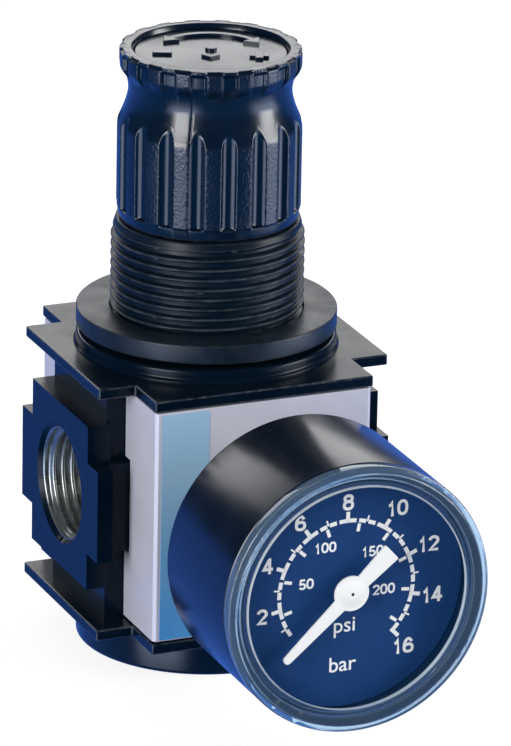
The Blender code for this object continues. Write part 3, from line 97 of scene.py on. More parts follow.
# straight runs through corners (radius, height, fillet), each fillet an arc tangent to both its runs
def roundedLine(corners, closed=True, arcSteps=5):
    count = len(corners)
    mostShare = 0.48  # of a run, for one arc
    line = []
    for index, (radius, height, fillet) in enumerate(corners):
        here = np.array((radius, height), dtype=float)
        if fillet <= 0 or (not closed and index in (0, count - 1)):
            line.append(here[None])
            continue
        back = np.array(corners[index - 1][:2]) - here
        ahead = np.array(corners[(index + 1) % count][:2]) - here
        backLength, aheadLength = np.linalg.norm(back), np.linalg.norm(ahead)
        back, ahead = back / backLength, ahead / aheadLength
        half = 0.5 * math.acos(np.clip(back @ ahead, -1, 1))
        reach = min(fillet / math.tan(half), mostShare * backLength, mostShare * aheadLength)
        bisector = (back + ahead) / np.linalg.norm(back + ahead)
        centre = here + bisector * reach / math.cos(half)
        start, end = here + back * reach - centre, here + ahead * reach - centre
        share = np.linspace(0, 1, arcSteps + 1)[:, None]
        sweep = math.pi - 2 * half
        arc = np.sin((1 - share) * sweep) * start + np.sin(share * sweep) * end
        line.append(centre + arc / math.sin(sweep))
    return np.concatenate(line)


# points round the z axis: x = r cos a, y = r sin a, z = h
def around(radius, height, angle):
    radius, height, angle = np.broadcast_arrays(radius, height, angle)
    return np.stack([radius * np.cos(angle), radius * np.sin(angle), height], axis=-1).reshape(-1, 3)


# a profile of (radius, height) carried once round the z axis
def spin(profile, steps):
    return around(profile[:, :1], profile[:, 1:], fullTurn(steps))


# flat points round the origin: x = r cos a, y = r sin a
def circle(radius, angle):
    return radius * np.column_stack([np.cos(angle), np.sin(angle)])


# flat points at clockwise angles from straight up: x = r sin a, y = r cos a
def clockwise(degrees, radius):
    angle = np.radians(degrees)
    return radius * np.column_stack([np.sin(angle), np.cos(angle)])


# flat points turned clockwise: x cos a + y sin a, y cos a - x sin a
def turnFlat(outline, degrees):
    cos, sin = math.cos(math.radians(degrees)), math.sin(math.radians(degrees))
    return np.asarray(outline) @ np.array([(cos, -sin), (sin, cos)])


# corners of an upright rectangle
def rectangle(left, low, right, high):
    return [(left, low), (right, low), (right, high), (left, high)]


# an outline from one half and the same half turned by 180 degrees
def twoHalves(half):
    return half + [(-a, -b) for a, b in half]


# a flat outline at two heights, joined by one quad an edge and closed by its two ends
def slab(outline, low, high):
    outline = np.asarray(outline, dtype=float)
    count = len(outline)
    points = np.concatenate([np.column_stack([outline, np.full(count, level)]) for level in (low, high)])
    here = np.arange(count)
    after = (here + 1) % count
    sides = np.column_stack([here, after, after + count, here + count]).tolist()
    return points, sides + [here[::-1].tolist(), (here + count).tolist()]


# a block on the z axis from its middle height and half sizes
def box(middle, halfX, halfY, halfZ):
    return slab(rectangle(-halfX, -halfY, halfX, halfY), middle - halfZ, middle + halfZ)


# gauge shapes are drawn as (x, up, forward) about the gauge axis: forward runs along -Y
def alongGauge(points):
    return np.column_stack([points[:, 0], -points[:, 2], points[:, 1] + portZ])


# port shapes are drawn as (y, up, x) about the port axis
def alongPort(points):
    return np.column_stack([points[:, 2], points[:, 0], points[:, 1] + portZ])


# several shapes as one list of points and faces
def gather(shapes):
    points, faces, count = [], [], 0
    for shapePoints, shapeFaces in shapes:
        points.append(shapePoints)
        faces += [[corner + count for corner in face] for face in shapeFaces]
        count += len(shapePoints)
    return np.concatenate(points), faces


# three numbers for each vertex or face, as rows
def readRows(items, key):
    flat = np.empty(len(items) * 3)
    items.foreach_get(key, flat)
    return flat.reshape(-1, 3)


# a new object in the scene
def addObject(name, data):
    made = bpy.data.objects.new(name, data)
    bpy.context.scene.collection.objects.link(made)
    return made


# the mesh that an object has after its modifiers
def finalMesh(made):
    return bpy.data.meshes.new_from_object(made.evaluated_get(bpy.context.evaluated_depsgraph_get()))


# puts points in millimetres into a mesh, merges poles and seams and turns the faces outwards
def rawPiece(name, points, faces):
    mesh = bpy.data.meshes.new(name)
    mesh.from_pydata((np.asarray(points) * mm).tolist(), [], faces)
    shell = bmesh.new()
    shell.from_mesh(mesh)
    bmesh.ops.remove_doubles(shell, verts=shell.verts, dist=1e-7)
    bmesh.ops.recalc_face_normals(shell, faces=shell.faces)
    shell.to_mesh(mesh)
    shell.free()
    return addObject(name, mesh)


# a piece turned from a profile of (radius, height), about the z axis unless it is placed elsewhere
def turnedPiece(name, line, steps, closed=True, place=np.asarray):
    return rawPiece(name, place(spin(line, steps)), gridQuads(len(line), steps, closed))


# adds or cuts one more shape and keeps the result as the piece's own mesh
def carve(piece, operation, points, faces):
    cutter = rawPiece("cutter", points, faces)
    step = piece.modifiers.new("carve", "BOOLEAN")
    step.operation, step.solver, step.object = operation, "EXACT", cutter
    result = finalMesh(piece)
    piece.modifiers.clear()
    piece.data = result
    bpy.data.meshes.remove(cutter.data)


# material, shading, rounded edges, and the body that it belongs to
def finishPiece(piece, look, body, slotName, stands=(), crease=38, edge=0.0, edgeSteps=3, edgeLook=None):
    piece.data.materials.clear()
    piece.data.materials.append(finish[look])
    if edgeLook:
        piece.data.materials.append(finish[edgeLook])
    piece.data.shade_smooth()
    piece.data.set_sharp_from_angle(angle=math.radians(crease))
    if edge:
        bevel = piece.modifiers.new("edge", "BEVEL")
        bevel.width, bevel.segments, bevel.limit_method = edge * mm, edgeSteps, "ANGLE"
        bevel.angle_limit = math.radians(crease)
        bevel.harden_normals = True
        bevel.material = 1 if edgeLook else -1
    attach(piece, body)
    if stands:
        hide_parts(*stands)


# links or sets a node's sockets
def setSockets(tree, node, sockets):
    for key, value in sockets.items():
        if isinstance(value, bpy.types.NodeSocket):
            tree.links.new(value, node.inputs[key])
        else:
            node.inputs[key].default_value = value


# a shader node with its settings and sockets
def addNode(tree, kind, sockets=None, **settings):
    made = tree.nodes.new(kind)
    for key, value in settings.items():
        setattr(made, key, value)
    setSockets(tree, made, sockets or {})
    return made


# one sum on two values
def mathNode(tree, operation, first, second, clamp=False):
    sockets = {0: first, 1: second}
    return addNode(tree, "ShaderNodeMath", sockets, operation=operation, use_clamp=clamp).outputs[0]


# all the values multiplied
def product(tree, first, *others):
    for other in others:
        first = mathNode(tree, "MULTIPLY", first, other)
    return first


# two colours mixed by a factor; a plain colour is given as three numbers
def mixColour(tree, factor, first, second):
    first, second = ((*tone, 1) if isinstance(tone, tuple) else tone for tone in (first, second))
    return addNode(tree, "ShaderNodeMix", {0: factor, 6: first, 7: second}, data_type="RGBA").outputs[2]


# a straight ramp between two values, held at its ends
def spread(tree, value, fromLow, fromHigh, toLow=0.0, toHigh=1.0):
    sockets = {"Value": value, "From Min": fromLow, "From Max": fromHigh, "To Min": toLow, "To Max": toHigh}
    return addNode(tree, "ShaderNodeMapRange", sockets).outputs["Result"]


# soft noise about a half
def noise(tree, place, scale, detail):
    sockets = {"Vector": place, "Scale": scale, "Detail": detail}
    return addNode(tree, "ShaderNodeTexNoise", sockets).outputs["Fac"]


# height part of a vector
def upward(tree, value):
    return addNode(tree, "ShaderNodeSeparateXYZ", {0: value}).outputs["Z"]


# a group that takes a place and some numbers and puts out numbers
def newGroup(name, inputs, outputs):
    tree = bpy.data.node_groups.new(name, "ShaderNodeTree")
    tree.interface.new_socket("Place", in_out="INPUT", socket_type="NodeSocketVector")
    for direction, labels in (("INPUT", inputs), ("OUTPUT", outputs)):
        for label in labels:
            tree.interface.new_socket(label, in_out=direction, socket_type="NodeSocketFloat")
    return tree, tree.nodes.new("NodeGroupInput").outputs, tree.nodes.new("NodeGroupOutput")


# outputs of a group with its sockets set
def groupNode(tree, group, **sockets):
    return addNode(tree, "ShaderNodeGroup", sockets, node_tree=group).outputs


# mouldGrain: a fine noise as height and a broad one as blotches between 0 and 1
def buildGrain(fineDetail, broadDetail, blotchSpan):
    tree, given, out = newGroup("mouldGrain", ("Grain", "Blotch"), ("Height", "Blotch"))
    fine = noise(tree, given["Place"], given["Grain"], fineDetail)
    broad = noise(tree, given["Place"], given["Blotch"], broadDetail)
    setSockets(tree, out, {"Height": fine, "Blotch": spread(tree, broad, *blotchSpan)})
    return tree


# a mask: a measure of the surface spread over its span, times patches of noise, times an amount
def buildMask(name, measure, span, patchScale, patchDetail, patches):
    tree, given, out = newGroup(name, ("Amount",), ("Mask",))
    patch = noise(tree, given["Place"], patchScale, patchDetail)
    mask = spread(tree, measure(tree, addNode(tree, "ShaderNodeNewGeometry").outputs), *span)
    setSockets(tree, out, {"Mask": product(tree, mask, spread(tree, patch, *patches), given["Amount"])})
    return tree


# how convex the surface is
def convexity(tree, surface):
    return surface["Pointiness"]


# how far the surface looks up
def facingUp(tree, surface):
    return upward(tree, surface["Normal"])


grainSettings = dict(fineDetail=2.5, broadDetail=4.0, blotchSpan=(0.32, 0.68))
rubAndHighlightSettings = dict(span=(0.51, 0.58), patchScale=420.0, patchDetail=3.0, patches=(0.35, 0.6, 0.25, 1.0))
dustSettings = dict(span=(0.55, 1.0), patchScale=900.0, patchDetail=5.0, patches=(0.4, 0.7, 0.2, 1.0))
grainGroup = buildGrain(**grainSettings)
# convex edges as a mask: rubbed edges, and a painted highlight where it lightens thread crests
edgeRubHighlightGroup = buildMask("edgeRubAndHighlight", convexity, **rubAndHighlightSettings)
dustGroup = buildMask("restingDust", facingUp, **dustSettings)


# a new material, its nodes and its shader
def newMaterial(name):
    material = bpy.data.materials.new(name)
    material.use_nodes = True
    tree = material.node_tree
    return material, tree, tree.nodes["Principled BSDF"]


# one opaque finish: two tones in blotches, convex edges lightened as rub and as a painted highlight, dust,
# uneven gloss and a grain bump
def makeFinish(name, look):
    material, tree, shader = newMaterial(name)
    place = addNode(tree, "ShaderNodeTexCoord").outputs["Object"]
    scales = {key: 1 / (look[key.lower()] * mm) for key in ("Grain", "Blotch")}
    grain = groupNode(tree, grainGroup, Place=place, **scales)
    edge = groupNode(tree, edgeRubHighlightGroup, Place=place, Amount=look["rubAndHighlight"])
    dust = groupNode(tree, dustGroup, Place=place, Amount=look["dust"])
    colour = mixColour(tree, grain["Blotch"], look["tone"], look["second"])
    if "ramp" in look:  # tones by height, with the blotches showing through
        low, high = look["rampSpan"]
        share = spread(tree, upward(tree, place), low * mm, high * mm)
        ramp = addNode(tree, "ShaderNodeValToRGB", {0: share})
        for index, (at, tone) in enumerate(look["ramp"]):
            stops = ramp.color_ramp.elements
            stop = stops[index] if index < 2 else stops.new(at)
            stop.position, stop.color = at, (*tone, 1)
        through = spread(tree, grain["Blotch"], 0.0, 1.0, 0.0, look["rampBlotch"])
        colour = mixColour(tree, through, ramp.outputs[0], colour)
    # convex edges and thread crests lightened: partly rubbed edges, partly a painted highlight
    colour = mixColour(tree, edge["Mask"], colour, look["rubAndHighlightTone"])
    colour = mixColour(tree, dust["Mask"], colour, look["dustTone"])
    glossy, dull = look["rough"] - look["uneven"], look["rough"] + look["uneven"]
    rough = spread(tree, grain["Blotch"], 0.0, 1.0, glossy, dull)
    rough = mathNode(tree, "ADD", rough, product(tree, dust["Mask"], look["dustRough"]), clamp=True)
    height = grain["Height"]
    if "padGrain" in look:  # raised pads carry a coarse leathery grain
        pad = addNode(tree, "ShaderNodeAttribute", attribute_name="pad").outputs["Fac"]
        cells = {"Vector": place, "Scale": 1 / (look["padGrain"] * mm)}
        leather = addNode(tree, "ShaderNodeTexVoronoi", cells, feature="SMOOTH_F1").outputs["Distance"]
        height = mathNode(tree, "ADD", height, product(tree, leather, pad, look["padHigh"]))
        rough = mathNode(tree, "ADD", rough, product(tree, pad, look["padRough"]), clamp=True)
    lift = {"Height": height, "Strength": 1.0, "Distance": look["relief"] * mm}
    bump = addNode(tree, "ShaderNodeBump", lift).outputs["Normal"]
    setSockets(tree, shader, {
        "Base Color": colour, "Roughness": rough, "Normal": bump,
        "Metallic": look["metal"], "Specular IOR Level": look["specular"],
    })
    return material


# tones are linear, sizes in millimetres; what a finish doesn't say is as in plainLook
plainLook = dict(
    rubAndHighlight=0.0, rubAndHighlightTone=(0.2, 0.22, 0.26), dust=0.0, dustTone=(0.42, 0.43, 0.45), dustRough=0.3, metal=0.0,
    specular=0.5,
)
looks = {
    "castPaint": dict(
        tone=(0.0006, 0.0048, 0.0120), second=(0.0012, 0.0066, 0.0155), rough=0.22, uneven=0.05,
        grain=0.35, blotch=9.0, relief=0.006, dust=0.01, specular=0.16,
    ),
    "castEdgeWearAndHighlight": dict(  # paint thinned over the casting's corners, lighter as a painted highlight along the edges
        tone=(0.005, 0.009, 0.016), second=(0.045, 0.055, 0.075), rough=0.26, uneven=0.06,
        grain=0.25, blotch=1.6, relief=0.006,
    ),
    # on the nut and the threads the rub lightens convex edges and crests: partly rub, partly a painted
    # highlight along the crests
    "mattePlastic": dict(
        tone=(0.0030, 0.0085, 0.0170), second=(0.0045, 0.0110, 0.0215), rough=0.36, uneven=0.06,
        grain=0.22, blotch=6.0, relief=0.010, rubAndHighlight=0.45, rubAndHighlightTone=(0.10, 0.12, 0.15), dust=0.02, specular=0.3,
    ),
    "threadPlastic": dict(
        tone=(0.0010, 0.0060, 0.0135), second=(0.0018, 0.0080, 0.0170), rough=0.38, uneven=0.05,
        grain=0.22, blotch=5.0, relief=0.008, rubAndHighlight=0.75, rubAndHighlightTone=(0.10, 0.12, 0.15), dust=0.01, specular=0.18,
    ),
    "knobGloss": dict(
        tone=(0.0006, 0.0064, 0.0195), second=(0.0010, 0.0080, 0.0235), rough=0.21, uneven=0.04,
        grain=0.30, blotch=7.0, relief=0.010, rubAndHighlight=0.12, dust=0.01, padGrain=0.5, padHigh=8.0, padRough=0.08,
    ),
    "caseGloss": dict(
        tone=(0.0016, 0.0050, 0.0130), second=(0.0026, 0.0072, 0.0175), rough=0.22, uneven=0.03,
        grain=0.30, blotch=11.0, relief=0.003, dust=0.02,
    ),
    "coverSilver": dict(
        tone=(0.545, 0.548, 0.655), second=(0.58, 0.583, 0.685), rough=0.40, uneven=0.05,
        grain=0.18, blotch=8.0, relief=0.005, metal=0.15,
    ),
    # label tones change with height, darker and bluer towards the bottom; the lower tones are lightened as
    # painted light against the gauge's shadow
    "labelBlue": dict(
        tone=(0.20, 0.42, 0.60), second=(0.26, 0.47, 0.64), rough=0.38, uneven=0.05,
        grain=0.30, blotch=5.0, relief=0.003, rampSpan=(11.0, 55.0), rampBlotch=0.12, ramp=[
            (0.0, (0.05, 0.29, 0.72)), (1.0, (0.29, 0.47, 0.65)), (0.35, (0.15, 0.40, 0.72)),
            (0.7, (0.28, 0.47, 0.66)),
        ],
    ),
    "portMetal": dict(
        tone=(0.27, 0.28, 0.27), second=(0.36, 0.37, 0.35), rough=0.30, uneven=0.08,
        grain=0.25, blotch=3.0, relief=0.006, metal=0.9, rubAndHighlight=0.3, rubAndHighlightTone=(0.7, 0.7, 0.68),
    ),
    "dialNavy": dict(
        tone=(0.0100, 0.0400, 0.1480), second=(0.0120, 0.0440, 0.1600), rough=0.60, uneven=0.04,
        grain=0.20, blotch=9.0, relief=0.002, specular=0.1,
    ),
    "printWhite": dict(
        tone=(0.97, 0.98, 0.99), second=(0.98, 0.99, 0.99), rough=0.55, uneven=0.04,
        grain=0.15, blotch=2.0, relief=0.002,
    ),
    "pointerWhite": dict(
        tone=(0.98, 0.98, 0.98), second=(0.99, 0.99, 0.99), rough=0.45, uneven=0.05,
        grain=0.20, blotch=3.0, relief=0.002,
    ),
    "sealRubber": dict(
        tone=(0.012, 0.012, 0.013), second=(0.018, 0.018, 0.019), rough=0.72, uneven=0.08,
        grain=0.25, blotch=3.0, relief=0.008,
    ),
    "turnedBrass": dict(
        tone=(0.60, 0.42, 0.17), second=(0.68, 0.50, 0.22), rough=0.30, uneven=0.08,
        grain=0.12, blotch=3.0, relief=0.004, metal=1.0,
    ),
    "brightSteel": dict(
        tone=(0.52, 0.53, 0.55), second=(0.60, 0.61, 0.62), rough=0.27, uneven=0.07,
        grain=0.12, blotch=3.0, relief=0.003, metal=1.0,
    ),
    "darkSteel": dict(
        tone=(0.030, 0.036, 0.050), second=(0.045, 0.052, 0.066), rough=0.40, uneven=0.06,
        grain=0.10, blotch=1.0, relief=0.002, metal=0.6,
    ),
}


# clear moulded plastic with a faint uneven polish: two tones, and a roughness between polish and haze
def makeClear(name, look):
    material, tree, shader = newMaterial(name)
    place = addNode(tree, "ShaderNodeTexCoord").outputs["Object"]
    blotch = groupNode(tree, grainGroup, Place=place, Grain=look["grain"], Blotch=look["blotch"])["Blotch"]
    setSockets(tree, shader, {
        "Base Color": mixColour(tree, blotch, look["tone"], look["second"]),
        "Roughness": spread(tree, blotch, 0.0, 1.0, look["polish"], look["haze"]),
        "Transmission Weight": look["clear"], "IOR": look["bend"],
    })
    return material


plainClear = dict(grain=3000.0, blotch=160.0, polish=0.0, bend=1.49)  # grain and blotch as counts to a metre
clearLooks = {
    "lensClear": dict(tone=(0.985, 0.995, 1.0), second=(0.99, 1.0, 1.0), haze=0.03, clear=1.0),
    "rimClear": dict(tone=(0.46, 0.70, 1.0), second=(0.58, 0.79, 1.0), haze=0.02, clear=0.94),
    # pale, partly frosted clear on the window's edge: a painted highlight line round the window
    "windowEdgeHighlightClear": dict(tone=(0.80, 0.90, 0.98), second=(0.86, 0.94, 1.0), polish=0.15, haze=0.25, clear=0.35),
}
finish = {name: makeFinish(name, plainLook | look) for name, look in looks.items()}
finish |= {name: makeClear(name, plainClear | look) for name, look in clearLooks.items()}
print("materials made:", len(finish))

# inner pieces that keep the frame's own meshes
cadFinish = {
    "sealRubber": ("cap_o_ring", "stem_o_ring", "valve_seal", "diaphragm", "gauge_seal", "rear_plug_seal"),
    "brightSteel": ("adjusting_spindle", "thrust_washer", "knob_clip", "spring_plate"),
    "turnedBrass": (
        "spring_nut", "valve_stem", "diaphragm_hub", "gauge_stem", "rear_plug", "bourdon_tube",
        "movement_frame", "sector_gear", "movement_link",
    ),
    "darkSteel": ("pointer_arbor",),
}
for name, nodes in cadFinish.items():
    for node in nodes:
        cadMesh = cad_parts[node].data
        cadMesh.materials.clear()
        cadMesh.materials.append(finish[name])

castShape = dict(
    plateX=28.7, plateY=28.6, frontX=21.55, tabY=18.75, plateT=2.1, bayLow=10.5, bayTop=55.7, edge=0.30,
    coreX=25.0, coreY=13.2, neckX=27.5, neckY=15.6, neckZ=8.6, faceX=29.0, flangeT=3.0, tallY=14.1,
    tallZ=16.0, wideY=19.3, wideZ=8.9, boreR=10.6, boreDepth=15.6, boreOver=2.0, sinkR=11.35,
    sinkDeep=0.8, sinkOver=1.0, collarR=24.25, collarFoot=0.45, footRise=0.25, footTop=0.75,
    collarTop=60.3, collarBore=19.0, collarSteps=160, bossR=9.5, bossInner=6.6, bossEnd=24.2, bossSteps=72,
    columnR=21.0, gapX=60.0, gapZ=30.0, tuck=0.6, overlap=0.5, steps=96,
)


# the casting: two notched plates, a round collar, and the core with its neck and cross-shaped port flanges
def buildCasting(s):
    x, frontX, y, tab = s["plateX"], s["frontX"], s["plateY"], s["tabY"]
    notched = twoHalves([(x, -tab), (x, tab), (frontX, tab), (frontX, y), (-frontX, y), (-frontX, tab)])
    low, top, tuck = s["bayLow"], s["bayTop"], s["tuck"]  # joined shapes run into each other by the tuck
    cast = dict(look="castPaint", body="housing", slotName="body_paint")
    # the bevels take the lighter edge paint: partly worn paint, partly a painted highlight along the edges
    edges = dict(edge=s["edge"], edgeLook="castEdgeWearAndHighlight", **cast)
    finishPiece(rawPiece("topPlate", *slab(notched, top, top + s["plateT"])), stands=("body",), **edges)
    finishPiece(rawPiece("bottomPlate", *slab(notched, low - s["plateT"], low)), **edges)

    def portSlab(outline, side, inner, outer):  # an outline carried along the port axis on one side
        points, faces = slab(outline, *sorted((side * inner, side * outer)))
        return alongPort(points), faces

    core = rawPiece("portBlock", *box((low + top) / 2, s["coreX"], s["coreY"], (top - low) / 2 + tuck))
    carve(core, "UNION", *box(portZ, s["neckX"], s["neckY"], s["neckZ"]))
    tallY, tallZ, wideY, wideZ, face = s["tallY"], s["tallZ"], s["wideY"], s["wideZ"], s["faceX"]
    tall = [(tallY, tallZ), (-tallY, tallZ)]
    cross = twoHalves([(tallY, wideZ), *tall, (-tallY, wideZ), (-wideY, wideZ), (-wideY, -wideZ)])
    flangeBack = face - s["flangeT"]
    for side in (-1, 1):
        carve(core, "UNION", *portSlab(cross, side, flangeBack, face))
        carve(core, "UNION", *portSlab(twoHalves(tall), side, s["coreX"] - tuck, flangeBack + s["overlap"]))
    bore = circle(s["boreR"], fullTurn(s["steps"]))
    slope = (s["sinkR"] - s["boreR"]) / s["sinkDeep"]
    foot, mouth = face - s["sinkDeep"], face + s["sinkOver"]
    cone = np.array([(0, foot), (s["boreR"], foot), (s["sinkR"] + slope * s["sinkOver"], mouth), (0, mouth)])
    for side in (-1, 1):
        carve(core, "DIFFERENCE", *portSlab(bore, side, face - s["boreDepth"], face + s["boreOver"]))
        sink = alongPort(spin(cone, s["steps"]) * (side, 1, side))
        carve(core, "DIFFERENCE", sink, gridQuads(len(cone), s["steps"], False))
    finishPiece(core, **edges)

    base, footR = top + s["plateT"], s["collarR"] + s["collarFoot"]
    collar = roundedLine([
        (s["collarBore"], base - tuck, 0), (footR, base - tuck, 0), (footR, base + s["footRise"], 0.2),
        (s["collarR"], base + s["footTop"], 0.5), (s["collarR"], s["collarTop"], 0.55),
        (s["collarBore"], s["collarTop"], 0.2),
    ])
    finishPiece(turnedPiece("collarRing", collar, s["collarSteps"]), **cast)
    boss = roundedLine([
        (s["bossInner"], s["bossEnd"], 0.3), (s["bossR"], s["bossEnd"], 0.4),
        (s["bossR"], s["coreY"] - tuck, 0), (s["bossInner"], s["coreY"] - tuck, 0),
    ])
    for name, side in (("frontBoss", 1), ("rearBoss", -1)):
        points = alongGauge(spin(boss, s["bossSteps"]) * (1, 1, side))
        finishPiece(rawPiece(name, points, gridQuads(len(boss), s["bossSteps"], True)), **cast)
    foot, head = low - s["overlap"], top + s["overlap"]
    column = np.array([(0, foot), (s["columnR"], foot), (s["columnR"], head), (0, head)])
    wall = turnedPiece("springColumn", column, s["steps"], closed=False)
    carve(wall, "DIFFERENCE", *box(portZ, s["gapX"], s["coreY"] - tuck, s["gapZ"]))
    finishPiece(wall, **cast)


buildCasting(castShape)
print("casting made")

threadShape = dict(
    pitch=1.814, minor=9.5, major=10.42, outer=10.64, start=28.1, mouth=28.2, floor=14.0, lastRow=14.3,
    back=13.45, steep=1.35, flat=0.12, runOut=1.6, pitchRows=14, steps=168,
)


# port thread: radius = root minus a rounded ridge whose phase advances one pitch a turn, faded at the mouth
def portThread(name, side, s):
    rows = int((s["start"] - s["floor"]) / s["pitch"] * s["pitchRows"])
    depth = np.linspace(s["start"], s["lastRow"], rows)[:, None]
    angle = fullTurn(s["steps"])[None]
    ridge = ease(s["steep"] * wave(depth / s["pitch"] + angle / (2 * np.pi)) - s["flat"], 0, 1)
    fade = np.clip((s["start"] - depth) / s["runOut"], 0, 1)
    ridged = s["major"] - (s["major"] - s["minor"]) * ridge * fade
    shell = np.array([
        (s["outer"], s["mouth"]), (s["minor"], s["floor"]), (0, s["floor"]), (0, s["back"]),
        (s["outer"], s["back"]),
    ])
    plain = np.repeat(shell[:, :1], s["steps"], axis=1)
    radius = np.concatenate([plain[:1], ridged, plain[1:]])
    depth = np.concatenate([shell[:1, 1:], depth, shell[1:, 1:]])
    points = alongPort(around(radius, depth, angle) * (1, 1, side))
    piece = rawPiece(name, points, gridQuads(len(radius), s["steps"], True))
    finishPiece(piece, "portMetal", "housing", "steel", crease=50)


portThread("leftPortThread", -1, threadShape)
portThread("rightPortThread", 1, threadShape)

coverShape = dict(
    halfX=21.35, front=28.4, wall=1.6, frontChamfer=0.6, rearChamfer=0.4, back=13.5, low=10.8, top=55.4,
    holeR=9.8, notchX=40.0, notchY=15.9, notchZ=9.2, edge=0.16, steps=96,
)


# folded silver cover: a U outline with chamfered corners, cut round the port neck and bored for the gauge
def buildCover(name, node, facing, chamfer, s):
    x, y, wall = s["halfX"], s["front"], s["wall"]
    inset = chamfer + wall * math.tan(math.pi / 8)
    outer = [(x, s["back"]), (x, y - chamfer), (x - chamfer, y)]
    inner = [(x - wall, s["back"]), (x - wall, y - inset), (x - inset, y - wall)]
    outline = outer + [(-a, b) for a, b in outer[::-1]] + [(-a, b) for a, b in inner] + inner[::-1]
    cover = rawPiece(name, *slab([(a, facing * b) for a, b in outline], s["low"], s["top"]))
    carve(cover, "DIFFERENCE", *box(portZ, s["notchX"], s["notchY"], s["notchZ"]))
    points, faces = slab(circle(s["holeR"], fullTurn(s["steps"])), y - 2 * wall, y + wall)
    carve(cover, "DIFFERENCE", alongGauge(points * (1, 1, -facing)), faces)
    edges = dict(crease=25, edge=s["edge"], edgeSteps=2)
    finishPiece(cover, "coverSilver", "housing", "cover_silver", (node,), **edges)


buildCover("frontCover", "front_cover", -1, coverShape["frontChamfer"], coverShape)
buildCover("rearCover", "rear_cover", 1, coverShape["rearChamfer"], coverShape)

labelShape = dict(left=-20.15, right=-10.8, low=11.1, top=55.0, sunk=0.05, proud=0.08, corner=0.3)


# a bare label strip stuck on the front cover: a thin plate with rounded corners
def buildLabel(s):
    corners = [(x, z, s["corner"]) for x, z in rectangle(s["left"], s["low"], s["right"], s["top"])]
    front = coverShape["front"]
    points, faces = slab(roundedLine(corners), front - s["sunk"], front + s["proud"])
    points = np.column_stack([points[:, 0], -points[:, 2], points[:, 1]])
    finishPiece(rawPiece("labelStrip", points, faces), "labelBlue", "housing", "cover_silver")


buildLabel(labelShape)

capShape = dict(radius=23.7, height=8.1, lower=0.9, upper=0.5, spigot=12.4, spigotTop=15.0, steps=160)


# round bottom cap: a turned profile with rounded edges and the spigot that goes up into the casting
def buildBottomCap(s):
    line = roundedLine([
        (0, 0, 0), (s["radius"], 0, s["lower"]), (s["radius"], s["height"], s["upper"]),
        (s["spigot"], s["height"], 0.2), (s["spigot"], s["spigotTop"], 0.4), (0, s["spigotTop"], 0),
    ], closed=False)
    piece = turnedPiece("bottomCap", line, s["steps"], closed=False)
    finishPiece(piece, "caseGloss", "housing", "black_plastic", ("bottom_cap",))


buildBottomCap(capShape)
print("covers, label and cap made")

bonnetShape = dict(
    radius=18.0, pitch=1.9, depth=0.95, crest=0.10, floor=0.62, low=58.6, top=82.3, plain=0.9, runOut=0.9,
    topRound=0.35, leadR=17.1, leadLong=3.0, bore=14.6, roof=78.6, neck=5.4, stepIn=0.02, stepUp=0.05,
    pitchRows=18, steps=216,
)


# threaded bonnet: radius = crest, drawn in along a lead cone at the top, minus a groove whose phase
# advances one pitch a turn and that runs out under a plain top band
def buildBonnet(s):
    angle = fullTurn(s["steps"])[None]
    threadTop = s["top"] - s["plain"]
    rows = int((threadTop - s["low"]) / s["pitch"] * s["pitchRows"])
    height = np.linspace(s["low"], threadTop, rows)[:, None]
    groove = ease(wave(height / s["pitch"] - angle / (2 * np.pi)), s["crest"], s["floor"])
    fade = np.clip((threadTop - height) / s["runOut"], 0, 1)
    lead = np.clip((height - s["top"]) / s["leadLong"] + 1, 0, 1) * (s["radius"] - s["leadR"])
    radius = s["radius"] - lead - s["depth"] * groove * fade
    cap = roundedLine([
        (radius[-1].max() - s["stepIn"], threadTop + s["stepUp"], 0),
        (s["leadR"], s["top"], s["topRound"]), (s["neck"], s["top"], 0.3), (s["neck"], s["roof"], 0.2),
        (s["bore"], s["roof"], 0.4), (s["bore"], s["low"], 0),
    ], closed=False)
    radius = np.concatenate([radius, np.repeat(cap[:, :1], s["steps"], axis=1)])
    height = np.concatenate([height, cap[:, 1:]])
    faces = gridQuads(len(radius), s["steps"], True)
    piece = rawPiece("threadedBonnet", around(radius, height, angle), faces)
    finishPiece(piece, "threadPlastic", "housing", "black_plastic", ("bonnet",), crease=50)


buildBonnet(bonnetShape)

nutShape = dict(radius=24.27, low=61.5, top=65.05, bore=18.02, edge=0.3, lead=0.12, steps=180)


# thin round panel nut: a turned ring with softened edges and a lead at its bore
def buildPanelNut(s):
    ring = roundedLine([
        (s["bore"], s["low"], 0.2), (s["radius"], s["low"], s["edge"]), (s["radius"], s["top"], s["edge"]),
        (s["bore"] + s["lead"], s["top"], 0.05), (s["bore"], s["top"] - s["lead"], 0.05),
    ])
    piece = turnedPiece("panelNut", ring, s["steps"])
    finishPiece(piece, "mattePlastic", "panel_nut", "black_plastic", ("panel_nut",))


buildPanelNut(nutShape)
print("bonnet and nut made")

coilShapes = {
    "mainCoil": dict(
        node="main_spring", radius=10.4, wire=1.8, turns=5, joint="spindle_turn", travel=7.5,
        endClose=0.5, turnSteps=48, wireSteps=12,
    ),
    "valveCoil": dict(
        node="valve_spring", radius=5.6, wire=0.9, turns=6, joint="valve_lift", travel=1.5,
        endClose=0.5, turnSteps=40, wireSteps=10,
    ),
}


